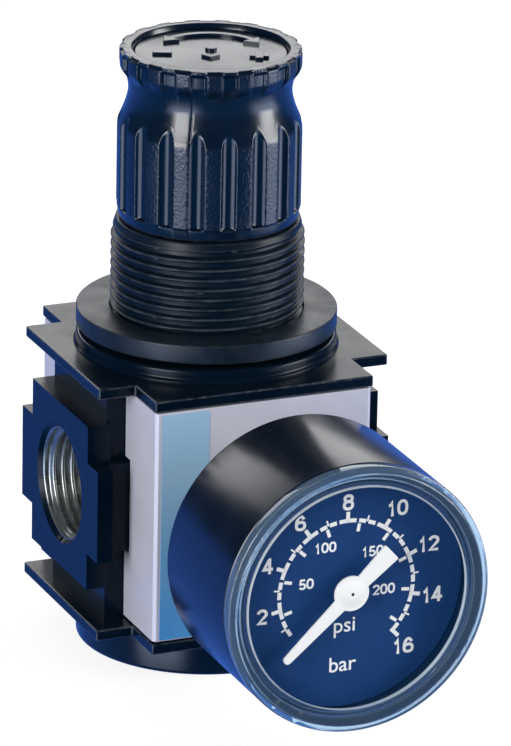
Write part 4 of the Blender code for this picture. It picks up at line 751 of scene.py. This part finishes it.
# coil spring: a circle of wire carried along a helix whose end turns lie closer
def buildCoil(name, s):
    (_, _, low), (_, _, high) = nodeBox(s["node"])
    share = np.linspace(0, 1, s["turns"] * s["turnSteps"] + 1)[:, None]
    eased = share - s["endClose"] / s["turns"] * np.sin(2 * np.pi * share) / np.pi
    wireR, section = s["wire"] / 2, fullTurn(s["wireSteps"])[None]
    height = low + wireR + (high - low - s["wire"]) * eased + wireR * np.sin(section)
    points = around(s["radius"] + wireR * np.cos(section), height, 2 * np.pi * s["turns"] * share)
    start = list(range(s["wireSteps"]))
    ends = [start, [len(points) - 1 - corner for corner in start]]
    piece = rawPiece(name, points, gridQuads(len(share), s["wireSteps"], False) + ends)
    finishPiece(piece, "brightSteel", "housing", "steel", (s["node"],))
    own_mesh(piece)


for name, shape in coilShapes.items():
    buildCoil(name, shape)
print("springs made")

knobShape = dict(
    ribs=18, ribShare=0.52, padRound=0.05, turnSteps=(4, 8, 8), low=82.65, top=114.9, footR=16.5,
    bandR=16.95, bandZ=84.7, bandPower=0.7, bandUnder=0.4, bandOver=0.6, bandEase=(-0.15, 0.35),
    skirtR=17.1, skirtUnder=0.4, groove=0.95, bowlPower=0.75, bowlEdge=0.45, bowlLip=0.10, meet=0.12,
    meetFill=0.083, meetWide=0.4, skirtZ=100.8, waistR=15.1, waistZ=107.0, flare=1.6, soften=0.2,
    neckR=16.15, neckZ=111.5, neckPower=1.7, padR=16.84, padLow=109.3, padFull=112.2, padOver=0.3,
    padBevel=0.7, lipR=16.75, lipLow=113.6, lipFull=114.4, edge=0.15, rows=(6, 9, 12, 36, 8, 12, 5, 12),
    seamTurn=-34.8, seamDeep=0.08, seamWide=0.4, seamSteep=2.2, recessR=14.2, recessLip=14.6, seatZ=112.0,
    clipR=7.0, socketTop=104.5, boltR=5.0, socketLow=87.5, socketR=7.8, cavityR=13.3, cavityTop=102.7,
    grainBand=(0.12, 0.03), grainOver=0.3, grainCrown=(0.2, 0.05), lipWide=0.5, recessDrop=0.9,
    footStep=0.3, edgeSteps=4,
)


# ribbed knob: radius(angle, height) = crest profile minus a half-round groove that dies out where the
# flare falls below its floor; above the waist a neck, bevelled pads and a thin lip between them; then
# recess, socket and hollow rings
def buildKnob(s):
    half, soft = s["ribShare"] / 2, s["padRound"]
    marks = (0, half - soft, half + soft, 0.5)
    spans = zip(marks, marks[1:], s["turnSteps"])
    reach = [np.linspace(start, end, steps)[:-1] for start, end, steps in spans]
    reach = np.append(np.concatenate(reach), 0.5)
    turn = np.concatenate([-reach[:0:-1], reach[:-1]])  # one pitch, 0 on the middle of a rib
    angle = (-np.pi / 2 + 2 * np.pi / s["ribs"] * (np.arange(s["ribs"])[:, None] + turn)).reshape(1, -1)
    turn = np.tile(np.abs(turn), s["ribs"])[None]
    inward = np.clip((turn - half) / (0.5 - half), 0, 1)  # 1 in the middle of a groove
    bowl = (inward * (2 - inward)) ** s["bowlPower"]
    inGroove = ease(turn, half - soft, half + soft)
    lip = s["bowlLip"] * ease(turn, half - soft, half) * (1 - bowl)
    bowl = bowl * (s["bowlEdge"] + (1 - s["bowlEdge"]) * inGroove) + lip
    levels = (
        s["low"], s["bandZ"] - s["bandUnder"], s["bandZ"] + s["bandOver"], s["skirtZ"] - s["skirtUnder"],
        s["waistZ"], s["padLow"], s["padFull"] + s["padOver"], s["lipLow"], s["top"] - s["edge"],
    )
    spans = zip(levels, levels[1:], s["rows"])
    knots = np.unique(np.concatenate([np.linspace(*span) for span in spans]))[:, None]

    def rising(low, high):  # share of the way up between two heights
        return np.clip((knots - low) / (high - low), 0, 1)

    band = s["footR"] + (s["bandR"] - s["footR"]) * rising(s["low"], s["bandZ"]) ** s["bandPower"]
    fall = np.clip((s["waistZ"] - knots) / (s["waistZ"] - s["skirtZ"]), 0, 2)
    shoulder = s["waistR"] + (s["skirtR"] - s["waistR"]) * fall ** s["flare"]
    shoulder = softLeast(shoulder, s["skirtR"], s["soften"])
    floor = s["skirtR"] - s["groove"] * bowl
    fill = s["meetFill"] * (1 - np.clip(np.abs(shoulder - floor) / s["meetWide"], 0, 1))
    skirt = softLeast(shoulder, floor, s["meet"]) + fill
    bandLow, bandHigh = (s["bandZ"] + step for step in s["bandEase"])
    body = band + (skirt - band) * ease(knots, bandLow, bandHigh)
    neck = s["waistR"] + (s["neckR"] - s["waistR"]) * rising(s["waistZ"], s["neckZ"]) ** s["neckPower"]
    pads = neck + (s["padR"] - neck) * ease(knots, s["padLow"], s["padFull"])
    pads = pads - np.clip(knots - (s["top"] - s["padBevel"]), 0, s["padBevel"])
    lips = neck + (s["lipR"] - neck) * ease(knots, s["lipLow"], s["lipFull"])
    radius = np.where(knots <= s["waistZ"], body, pads + (lips - pads) * inGroove)
    seam = np.radians(s["seamTurn"] - 90) + np.array([[0], [np.pi]])  # parting line of the two mould halves
    apart = np.abs((angle - seam + np.pi) % (2 * np.pi) - np.pi).min(axis=0) * s["skirtR"] / s["seamWide"]
    radius = radius - s["seamDeep"] * np.exp(-(s["seamSteep"] * apart) ** 2) * (knots < s["padLow"])
    arc = np.linspace(0, np.pi / 2, s["edgeSteps"])[1:, None]  # rounded upper edge of the rim
    rimR = radius[-1:] - s["edge"] * (1 - np.cos(arc))
    rimZ = s["top"] - s["edge"] * (1 - np.sin(arc))
    inner = roundedLine([
        (s["recessLip"] + s["lipWide"], s["top"], 0), (s["recessLip"], s["top"], 0.25),
        (s["recessR"], s["top"] - s["recessDrop"], 0.2), (s["recessR"], s["seatZ"], 0.1),
        (s["clipR"], s["seatZ"], 0.1), (s["clipR"], s["socketTop"], 0.1),
        (s["boltR"], s["socketTop"], 0.1), (s["boltR"], s["socketLow"], 0.1),
        (s["socketR"], s["socketLow"], 0.2), (s["socketR"], s["cavityTop"], 0.3),
        (s["cavityR"], s["cavityTop"], 0.5), (s["cavityR"], s["low"], 0.3),
        (s["footR"] - s["footStep"], s["low"], 0),
    ], closed=False, arcSteps=3)
    columns = angle.size
    radius = np.concatenate([radius, rimR, np.repeat(inner[:, :1], columns, axis=1)])
    height = np.concatenate([knots, rimZ, inner[:, 1:]])
    piece = rawPiece("ribbedKnob", around(radius, height, angle), gridQuads(len(radius), columns, True))
    x, y, z = readRows(piece.data.vertices, "co").T / mm
    reach = np.hypot(x, y)
    onRibs = ease(reach, *(s["skirtR"] - step for step in s["grainBand"]))
    onRibs = onRibs * (z > s["bandZ"]) * (z < s["skirtZ"] + s["grainOver"])
    under, over = s["grainCrown"]
    onCrown = ease(reach, s["neckR"] + under, s["padR"] - over) * (z > s["padLow"])
    pad = np.maximum(onRibs, onCrown).astype(np.float32)
    piece.data.attributes.new("pad", "FLOAT", "POINT").data.foreach_set("value", pad)
    finishPiece(piece, "knobGloss", "knob", "knob_plastic", ("knob",), crease=60)


buildKnob(knobShape)

knobCapShape = dict(
    radius=14.05, low=112.3, top=114.0, sunk=0.2, signHigh=0.55, signEdge=0.14, turn=-23.0, arcR=9.7,
    arcW=1.25, arcHalf=49.0, headLong=17.0, headW=4.0, minusAt=(-8.9, -2.7), plusAt=(8.9, -3.6),
    barLong=3.6, barW=1.5, bossAt=(0.0, 0.6), bossR=1.1, chevronAt=-3.2, chevronHalf=1.7, chevronDrop=1.3,
    chevronW=1.0, arcSteps=25, bossSteps=24, steps=128,
)


# knob's top disc: a turned plate with raised flat signs: two-headed arc, bar, cross, boss and chevron
def buildKnobCap(s):
    line = roundedLine([
        (0, s["low"], 0), (s["radius"], s["low"], 0), (s["radius"], s["top"], 0.3), (0, s["top"], 0),
    ], closed=False)
    disc = turnedPiece("knobDisc", line, s["steps"], closed=False)
    finishPiece(disc, "knobGloss", "knob", "knob_plastic", ("knob_cap",))
    end, radius = s["arcHalf"], s["arcR"]
    bend, wide, head = np.linspace(end, -end, s["arcSteps"]), s["arcW"] / 2, s["headW"] / 2
    arrow = np.concatenate([
        clockwise(bend, radius + wide), clockwise(-end, radius + head),
        clockwise(-end - s["headLong"], radius), clockwise(-end, radius - head),
        clockwise(bend[::-1], radius - wide), clockwise(end, radius - head),
        clockwise(end + s["headLong"], radius), clockwise(end, radius + head),
    ])
    a, b = s["barLong"] / 2, s["barW"] / 2
    minus = np.array(rectangle(-a, -b, a, b)) + s["minusAt"]
    plus = np.array(twoHalves([(-a, -b), (-b, -b), (-b, -a), (b, -a), (b, -b), (a, -b)])) + s["plusAt"]
    boss = circle(s["bossR"], fullTurn(s["bossSteps"])) + s["bossAt"]
    h, y, d, w = s["chevronHalf"], s["chevronAt"], s["chevronDrop"], s["chevronW"]
    chevron = [(-h, y), (0, y - d), (h, y), (h, y - w), (0, y - d - w), (-h, y - w)]
    low, high = s["top"] - s["sunk"], s["top"] + s["signHigh"]
    signs = [slab(turnFlat(sign, -s["turn"]), low, high) for sign in (arrow, minus, plus, boss, chevron)]
    piece = rawPiece("knobSigns", *gather(signs))
    finishPiece(piece, "knobGloss", "knob", "knob_plastic", edge=s["signEdge"])


buildKnobCap(knobCapShape)
print("knob made")

caseShape = dict(
    radius=25.2, back=43.1, front=71.6, bevel=1.0, round=1.4, hole=5.2, backT=1.5, bore=21.6, seatR=22.9,
    seat=65.6, steps=192,
)


# gauge case: a turned cup with a rounded back edge, a bevelled mouth and a step for the dial
def buildCase(s):
    inside = s["back"] + s["backT"]
    line = roundedLine([
        (s["hole"], s["back"], 0.1), (s["radius"], s["back"], s["round"]),
        (s["radius"], s["front"] - s["bevel"], 0.15), (s["radius"] - s["bevel"], s["front"], 0.1),
        (s["seatR"], s["front"], 0.05), (s["seatR"], s["seat"], 0.05), (s["bore"], s["seat"], 0.05),
        (s["bore"], inside, 0.5), (s["hole"], inside, 0.1),
    ])
    piece = turnedPiece("gaugeCase", line, s["steps"], place=alongGauge)
    finishPiece(piece, "caseGloss", "housing", "black_plastic", ("gauge_case",))


buildCase(caseShape)

lensShape = dict(
    window=21.2, paneBack=72.0, ledge=70.7, skirtR=22.6, skirtWall=0.6, skirt=69.5, coneR=24.3,
    coneTop=71.75, radius=25.2, coneLow=70.85, shelf=73.15, step=23.9, stepLean=0.1, front=73.6,
    steps=360, marks=(29.0, 41.5, 118.0, 124.0, 209.0, 221.5, 298.0), markDeep=0.35, markWide=0.9,
    markSteep=2, markIn=0.1, markOut=0.3, markOver=0.01, near=0.05,
)


# clear lens: a turned pane with a skirt into the case, a stepped rim and a cone over the case's bevel,
# where moulded marks are radial ridges: the height changes by a bell of the angle round each mark
def buildLens(s):
    wallR = s["skirtR"] - s["skirtWall"]
    line = roundedLine([
        (0, s["paneBack"], 0), (s["window"], s["paneBack"], 0.35), (s["window"], s["ledge"], 0.12),
        (wallR, s["ledge"], 0.1), (wallR, s["skirt"], 0.1), (s["skirtR"], s["skirt"], 0.1),
        (s["skirtR"], s["coneTop"], 0.1), (s["coneR"], s["coneTop"], 0.1),
        (s["radius"], s["coneLow"], 0.1), (s["radius"], s["shelf"], 0.45),
        (s["step"] + s["stepLean"], s["shelf"], 0.1), (s["step"], s["front"], 0.25), (0, s["front"], 0),
    ], closed=False)
    points = spin(line, s["steps"])
    reach = np.hypot(points[:, 0], points[:, 1])
    bearing = np.degrees(np.arctan2(points[:, 0], points[:, 1]))
    under = (reach > s["skirtR"] + s["markIn"]) & (reach < s["radius"] - s["markOut"])
    under = under & (points[:, 2] < s["coneTop"] + s["markOver"])
    for mark in s["marks"]:
        apart = np.radians((bearing - mark + 180) % 360 - 180) * s["radius"] / s["markWide"]
        points[:, 2] += under * s["markDeep"] * np.exp(-(s["markSteep"] * apart) ** 2)
    piece = rawPiece("gaugeLens", alongGauge(points), gridQuads(len(line), s["steps"], False))
    finishPiece(piece, "lensClear", "housing", "lens_clear", ("gauge_lens",), crease=30)
    for look in ("rimClear", "windowEdgeHighlightClear"):
        piece.data.materials.append(finish[look])
    x, y, z = readRows(piece.data.polygons, "center").T / mm
    away = np.hypot(x, z - portZ) - s["window"]
    # the window's edge takes the pale frosted clear, a painted highlight line
    windowEdge = (np.abs(away) < s["near"]) & (-y < s["paneBack"])
    lookIndex = np.where(windowEdge, 2, (away > s["near"]) * 1).astype(np.int32)  # pane, rim or window's edge
    piece.data.polygons.foreach_set("material_index", lookIndex)
    # light reaches the dial as through real clear plastic
    piece.visible_shadow = piece.visible_diffuse = False


buildLens(lensShape)

dialShape = dict(
    radius=22.6, back=65.9, front=66.5, hole=1.3, ink=0.05, inkSunk=0.02, arcR=13.04, arcW=0.75,
    dashGap=0.14, dashSteps=5, zeroAt=8, perBar=16.875, span=16, majorEnd=14.75, majorW=0.72,
    minorEnd=14.15, minorW=0.32, psiStart=12.45, psiEnd=10.95, psiW=0.62, psiStep=25, psiLast=225,
    psiPerBar=14.5038, numberR=16.6, secondFigure=0.55, lastShift=(-0.75, -0.4), numberHigh=3.0,
    psiHigh=2.0, wordSize=4.1, wordWeight=0.004,
    psiAt={"50": (-7.85, 1.95), "100": (-4.35, 8.45), "150": (4.9, 6.6), "200": (7.35, -1.0)},
    wordAt={"psi": (-0.2, -7.4), "bar": (-0.35, -14.4)}, steps=160,
)
figureShape = dict(
    half=0.265, weight=0.185, advance=0.74, squareness=0.82, arcSteps=15, layerLow=0.003, layerTop=0.006,
)


# figures as strokes on a unit height: each path is a stroke's middle, of straight runs and elliptic arcs
def figurePaths(s):
    rx, low, high = s["half"], s["weight"] / 2, 1 - s["weight"] / 2

    def bend(cy, ry, start, end):  # arc of an ellipse
        turn = np.radians(np.linspace(start, end, s["arcSteps"]))
        return np.column_stack([rx * np.cos(turn), cy + ry * np.sin(turn)])

    def oval(cy, ry, wide=rx):  # cosine and sine to a power under one square the ellipse off
        flat = circle(1, fullTurn(2 * s["arcSteps"]))
        return (0, cy) + (wide, ry) * np.sign(flat) * np.abs(flat) ** s["squareness"]

    def run(*points):  # straight stretches
        return np.array(points, dtype=float)

    bowl, mid = 0.23, 0.315  # half height and centre of the low bowls
    neck = run((rx * 0.9, high), (-rx * 0.6, high), (-rx * 0.8, 0.52))
    foot = run((-rx * 0.9, low), (rx + 0.03, low))
    return {
        "0": [(oval(0.5, 0.5 - low), True)],
        "1": [(run((-0.16, 0.70), (-0.02, 0.73), (0.07, high + low), (0.07, 0)), False)],
        "2": [(np.concatenate([bend(0.68, high - 0.68, 172, -30), foot]), False)],
        "4": [(run((0.10, 0), (0.10, 1)), False), (run((0.06, high), (-rx, 0.30), (rx + 0.05, 0.30)), False)],
        "5": [(np.concatenate([neck, bend(mid, bowl, 128, -158)]), False)],
        "6": [(oval(mid, bowl), True), (bend(0.40, high - 0.40, 182, 38), False)],
        "8": [(oval(mid - 0.01, bowl), True), (oval(0.725, high - 0.725, rx * 0.88), True)],
    }


# a stroke of even width: a rectangle carried along its path, mitred where the path turns
def stroke(path, closed, width, low, high, leastMitre=0.5):
    step = np.diff(np.concatenate([path, path[:1]]) if closed else path, axis=0)
    side = np.column_stack([-step[:, 1], step[:, 0]]) / np.linalg.norm(step, axis=1, keepdims=True)
    before = np.roll(side, 1, axis=0) if closed else np.concatenate([side[:1], side])
    after = side if closed else np.concatenate([side, side[-1:]])
    mitre = before + after
    mitre = mitre / np.maximum((mitre * mitre).sum(axis=1, keepdims=True) / 2, leastMitre)
    left, right = path + mitre * width / 2, path - mitre * width / 2
    rings = ((left, low), (right, low), (right, high), (left, high))
    rings = [np.column_stack([flat, np.full(len(path), level)]) for flat, level in rings]
    points = np.stack(rings, axis=1).reshape(-1, 3)
    first, last = [0, 1, 2, 3], len(points) - 1
    ends = [] if closed else [first, [last - corner for corner in first]]
    return points, gridQuads(len(path), 4, closed) + ends


# a number from its figures, set side by side round its own middle
def inkNumber(text, high, low, top, s):
    paths = figurePaths(s)
    shapes = []
    for index, figure in enumerate(text):
        shift = ((index - (len(text) - 1) / 2) * s["advance"], -0.5)
        # crossing strokes end at slightly different heights
        for layer, (path, closed) in enumerate(paths[figure]):
            span = low + s["layerLow"] * layer, top + s["layerTop"] * layer
            shapes.append(stroke((path + shift) * high, closed, s["weight"] * high, *span))
    return gather(shapes)


# flat text as a thin solid, centred on its own box
def inkText(words, size, weight, low, high, curveSteps=5, thick=0.05):
    curve = bpy.data.curves.new("ink", "FONT")
    curve.body, curve.size, curve.offset, curve.resolution_u = words, 1.0, weight, curveSteps
    curve.extrude = thick
    holder = addObject("ink", curve)
    mesh = finalMesh(holder)
    points = readRows(mesh.vertices, "co")
    faces = [list(face.vertices) for face in mesh.polygons]
    middle = (points.min(axis=0) + points.max(axis=0)) / 2
    points = (points - middle) * size
    points[:, 2] = np.where(points[:, 2] > 0, high, low)
    bpy.data.objects.remove(holder)
    bpy.data.curves.remove(curve)
    bpy.data.meshes.remove(mesh)
    return points, faces


# dial plate and its print: dashes along an arc, bars turned about the axis as ticks, and numbers round it
def buildDial(s):
    plate = roundedLine([
        (s["hole"], s["back"], 0.05), (s["radius"], s["back"], 0.05), (s["radius"], s["front"], 0.1),
        (s["hole"], s["front"], 0.05),
    ])
    dial = turnedPiece("dialPlate", plate, s["steps"], place=alongGauge)
    finishPiece(dial, "dialNavy", "housing", "dial_face", ("gauge_dial",))
    low, high = s["front"] - s["inkSunk"], s["front"] + s["ink"]
    arcLow, arcHigh = s["arcR"] - s["arcW"] / 2, s["arcR"] + s["arcW"] / 2
    shapes = []

    def barAngle(bar):  # clockwise from the top
        return (bar - s["zeroAt"]) * s["perBar"]

    def tick(bar, start, end, width):  # along the radius at a pressure
        shapes.append(slab(turnFlat(rectangle(-width / 2, start, width / 2, end), barAngle(bar)), low, high))

    def put(shape, *shifts):  # one more shape in the print
        points, faces = shape
        for shift in shifts:
            points[:, :2] += shift
        shapes.append((points, faces))

    for dash in range(1, 2 * s["span"]):  # four dashes to two bar
        start, end = dash + s["dashGap"], dash + 1 - s["dashGap"]
        sweep = np.linspace(barAngle(start / 2), barAngle(end / 2), s["dashSteps"])
        ring = np.concatenate([clockwise(sweep, arcLow), clockwise(sweep[::-1], arcHigh)])
        shapes.append(slab(ring, low, high))
    for bar in range(1, s["span"] + 1):
        if bar % 2:
            tick(bar, s["arcR"], s["minorEnd"], s["minorW"])
            continue
        tick(bar, arcLow, s["majorEnd"], s["majorW"])
        spot = clockwise(barAngle(bar), s["numberR"] + s["secondFigure"] * (bar >= 10))
        last = np.array(s["lastShift"]) * (bar == s["span"])
        put(inkNumber(str(bar), s["numberHigh"], low, high, figureShape), spot, last)
    for psi in range(s["psiStep"], s["psiLast"] + 1, s["psiStep"]):
        tick(psi / s["psiPerBar"], s["psiEnd"], s["psiStart"], s["psiW"])
    for text, spot in s["psiAt"].items():
        put(inkNumber(text, s["psiHigh"], low, high, figureShape), spot)
    for text, spot in s["wordAt"].items():
        put(inkText(text, s["wordSize"], s["wordWeight"], low, high), spot)
    points, faces = gather(shapes)
    finishPiece(rawPiece("dialPrint", alongGauge(points), faces), "printWhite", "housing", "pointer_white")


buildDial(dialShape)

pointerShape = dict(
    back=68.6, front=69.2, hubR=3.3, reach=17.3, tipHalf=0.75, rootHalf=1.3, tail=10.4, tailRoot=1.35,
    tailEnd=1.85, tailRound=0.35, zero=-132.5, edge=0.16, eye=0.32, bossR=2.6, bossCrown=0.85,
    bossFront=69.6, bossSunk=0.1, bossRim=0.02, steps=48, tipSteps=13, hubSteps=28, cornerSteps=5,
)


# pointer: a flat outline of a tapered needle, round hub and broad tail, laid along its zero direction,
# with a low turned cone on its hub
def buildPointer(s):
    root, tailRoot = math.asin(s["rootHalf"] / s["hubR"]), math.asin(s["tailRoot"] / s["hubR"])
    quarter, corner = math.pi / 2, s["tailRound"]
    tailX, tailY = s["tailEnd"] - corner, corner - s["tail"]

    def arc(x, y, radius, start, end, steps):  # of a circle about a point
        return circle(radius, np.linspace(start, end, steps)) + (x, y)

    outline = np.concatenate([
        arc(0, s["reach"] - s["tipHalf"], s["tipHalf"], 0, math.pi, s["tipSteps"]),
        arc(0, 0, s["hubR"], quarter + root, 3 * quarter - tailRoot, s["hubSteps"]),
        arc(-tailX, tailY, corner, math.pi, 3 * quarter, s["cornerSteps"]),
        arc(tailX, tailY, corner, 3 * quarter, 4 * quarter, s["cornerSteps"]),
        arc(0, 0, s["hubR"], tailRoot - quarter, quarter - root, s["hubSteps"]),
    ])
    flat = slab(turnFlat(outline, s["zero"]), s["back"], s["front"])
    sunk = s["front"] - s["bossSunk"]
    cone = roundedLine([
        (s["eye"], sunk, 0), (s["bossR"], sunk, 0), (s["bossR"], s["front"] + s["bossRim"], 0),
        (s["bossCrown"], s["bossFront"], 0.8), (s["eye"], s["bossFront"], 0.06),
    ])
    hub = spin(cone, s["steps"]), gridQuads(len(cone), s["steps"], True)
    points, faces = gather([flat, hub])
    needle = rawPiece("pointerNeedle", alongGauge(points), faces)
    edges = dict(crease=30, edge=s["edge"])
    finishPiece(needle, "pointerWhite", "pointer", "pointer_white", ("gauge_pointer",), **edges)


buildPointer(pointerShape)
print("gauge made")

studio = dict(
    azimuth=-23.08, elevation=19.75, roll=1.13, target=(10.14, 0.0, 50.03), distance=1272.6,
    focalPixels=6806.8, imageWidth=511, sensor=36.0, boxSpread=60.0, boxRise=15.0, boxDistance=700.0,
    boxWide=270.0, boxTall=400.0, boxPower=3.9, panelRise=26.0, panelDistance=900.0, panelWide=1700.0,
    panelTall=360.0, panelPower=3.3, aim=60.0,
)


# unit vector from the object at a bearing and a rise
def outward(bearing, rise):
    az, el = math.radians(bearing), math.radians(rise)
    return Vector((math.sin(az) * math.cos(el), -math.cos(az) * math.cos(el), math.sin(el)))


# camera at a distance from its target, rolled about its own axis
def buildCamera(s):
    az, roll = math.radians(s["azimuth"]), math.radians(s["roll"])
    back = outward(s["azimuth"], s["elevation"])
    right = Vector((math.cos(az), math.sin(az), 0))
    up = back.cross(right)
    across = right * math.cos(roll) + up * math.sin(roll)
    upright = up * math.cos(roll) - right * math.sin(roll)
    camera = addObject("camera", bpy.data.cameras.new("camera"))
    place = (Vector(s["target"]) + back * s["distance"]) * mm
    camera.matrix_world = Matrix.Translation(place) @ Matrix((across, upright, back)).transposed().to_4x4()
    camera.data.sensor_fit, camera.data.sensor_width = "HORIZONTAL", s["sensor"]
    camera.data.lens = s["focalPixels"] * s["sensor"] / s["imageWidth"]
    bpy.context.scene.camera = camera


# two tall soft boxes in front, left and right of the gauge's axis, and a wide panel behind
def buildLamps(s):
    softBox = [s[key] for key in ("boxRise", "boxDistance", "boxWide", "boxTall", "boxPower")]
    panel = [s[key] for key in ("panelRise", "panelDistance", "panelWide", "panelTall", "panelPower")]
    lamps = {
        "leftBox": (-s["boxSpread"], *softBox), "rightBox": (s["boxSpread"], *softBox),
        "backPanel": (s["azimuth"] + 180, *panel),
    }
    for name, (turn, rise, distance, wide, tall, power) in lamps.items():
        lamp = bpy.data.lights.new(name, "AREA")
        lamp.shape, lamp.size, lamp.size_y, lamp.energy = "RECTANGLE", wide * mm, tall * mm, power
        holder = addObject(name, lamp)
        out = outward(turn, rise)
        place = Vector((0, 0, s["aim"] * mm)) + out * distance * mm
        holder.visible_transmission = False
        holder.matrix_world = Matrix.Translation(place) @ out.to_track_quat("Z", "Y").to_matrix().to_4x4()


# spans are of the cosine of a level angle for a turn, and of the view's height for a rise
room = dict(
    white=(1.0, 1.0, 1.0), ambient=(0.29, 0.295, 0.30), dark=(0.02, 0.035, 0.07),
    backdrop=(0.97, 0.98, 1.0), backdropTurn=(0.72, 0.80), backdropFoot=(0.17, 0.27),
    backdropTop=(0.70, 0.42), sheetFront=(0.010, 0.12, 0.38), sheetBehind=(0.07, 0.21, 0.86),
    sheetTurn=(-0.6, 0.6), sheetGlare=(2.6, 3.1, 4.2), glareTurn=(0.90, 0.975), glareFoot=(-0.62, -0.35),
    glareTop=(0.02, -0.04), groundTurn=(-0.5, -0.2), groundTop=(0.25, 0.0), horizon=(-0.02, 0.03),
    least=0.0001,
)


# pale room: white to the camera; mirrors see a white backdrop behind, a dark room in front and, below the
# horizon, a cool glossy sheet that mirrors the soft boxes; clear plastic sees white ground behind
def buildRoom(s, behindAt, boxAt):
    world = bpy.data.worlds.new("room")
    bpy.context.scene.world = world
    world.use_nodes = True
    world.cycles.sampling_method = "NONE"
    tree = world.node_tree
    tree.nodes.clear()
    path = addNode(tree, "ShaderNodeLightPath").outputs
    view = addNode(tree, "ShaderNodeTexCoord").outputs["Generated"]
    x, y, z = addNode(tree, "ShaderNodeSeparateXYZ", {0: view}).outputs
    level = mathNode(tree, "SUBTRACT", 1.0, product(tree, z, z))
    level = mathNode(tree, "SQRT", mathNode(tree, "MAXIMUM", level, s["least"]), 0.0)

    def towards(degrees):  # cosine of the level angle from a bearing
        az = math.radians(degrees)
        along = mathNode(tree, "ADD", product(tree, x, math.sin(az)), product(tree, y, -math.cos(az)))
        return mathNode(tree, "DIVIDE", along, level)

    def within(value, *spans):  # product of the shares of a value in some spans
        return product(tree, *(spread(tree, value, *s[span]) for span in spans))

    behind = towards(behindAt)
    backdrop = product(tree, within(behind, "backdropTurn"), within(z, "backdropTop", "backdropFoot"))
    above = mixColour(tree, backdrop, s["dark"], s["backdrop"])
    below = mixColour(tree, within(behind, "sheetTurn"), s["sheetFront"], s["sheetBehind"])
    boxes = mathNode(tree, "MAXIMUM", towards(-boxAt), towards(boxAt))
    glare = product(tree, within(boxes, "glareTurn"), within(z, "glareFoot", "glareTop"))
    below = mixColour(tree, glare, below, s["sheetGlare"])
    ground = product(tree, within(behind, "groundTurn"), within(z, "groundTop"))
    mirrored = mixColour(tree, within(z, "horizon"), below, above)
    through = mixColour(tree, ground, s["sheetFront"], s["white"])
    tone = mixColour(tree, path["Is Glossy Ray"], s["ambient"], mirrored)
    tone = mixColour(tree, path["Is Transmission Ray"], tone, through)
    tone = mixColour(tree, path["Is Camera Ray"], tone, s["white"])
    background = addNode(tree, "ShaderNodeBackground", {"Color": tone, "Strength": 1.0})
    addNode(tree, "ShaderNodeOutputWorld", {"Surface": background.outputs[0]})


floorShape = dict(half=3.0, tone=(0.45, 0.45, 0.45, 1), rough=0.9, glow=0.76, glowTone=(1, 1, 1, 1))


# white paper under the object: a flat square that takes its shadow and glows to the camera alone
def buildFloor(s):
    sheet = bpy.data.meshes.new("floor")
    corners = rectangle(-s["half"], -s["half"], s["half"], s["half"])
    sheet.from_pydata([(*corner, 0) for corner in corners], [], [(0, 1, 2, 3)])
    floor = addObject("floor", sheet)
    paper, tree, shader = newMaterial("floorPaper")
    seen = addNode(tree, "ShaderNodeLightPath").outputs["Is Camera Ray"]
    setSockets(tree, shader, {
        "Base Color": s["tone"], "Roughness": s["rough"], "Specular IOR Level": 0.0,
        "Emission Color": s["glowTone"], "Emission Strength": product(tree, seen, s["glow"]),
    })
    sheet.materials.append(paper)
    floor.visible_glossy = floor.visible_transmission = False  # the room stands in for it there


buildCamera(studio)
buildLamps(studio)
buildRoom(room, studio["azimuth"] + 180, studio["boxSpread"])
buildFloor(floorShape)
bpy.context.scene.view_settings.view_transform = "Standard"
print("studio made")
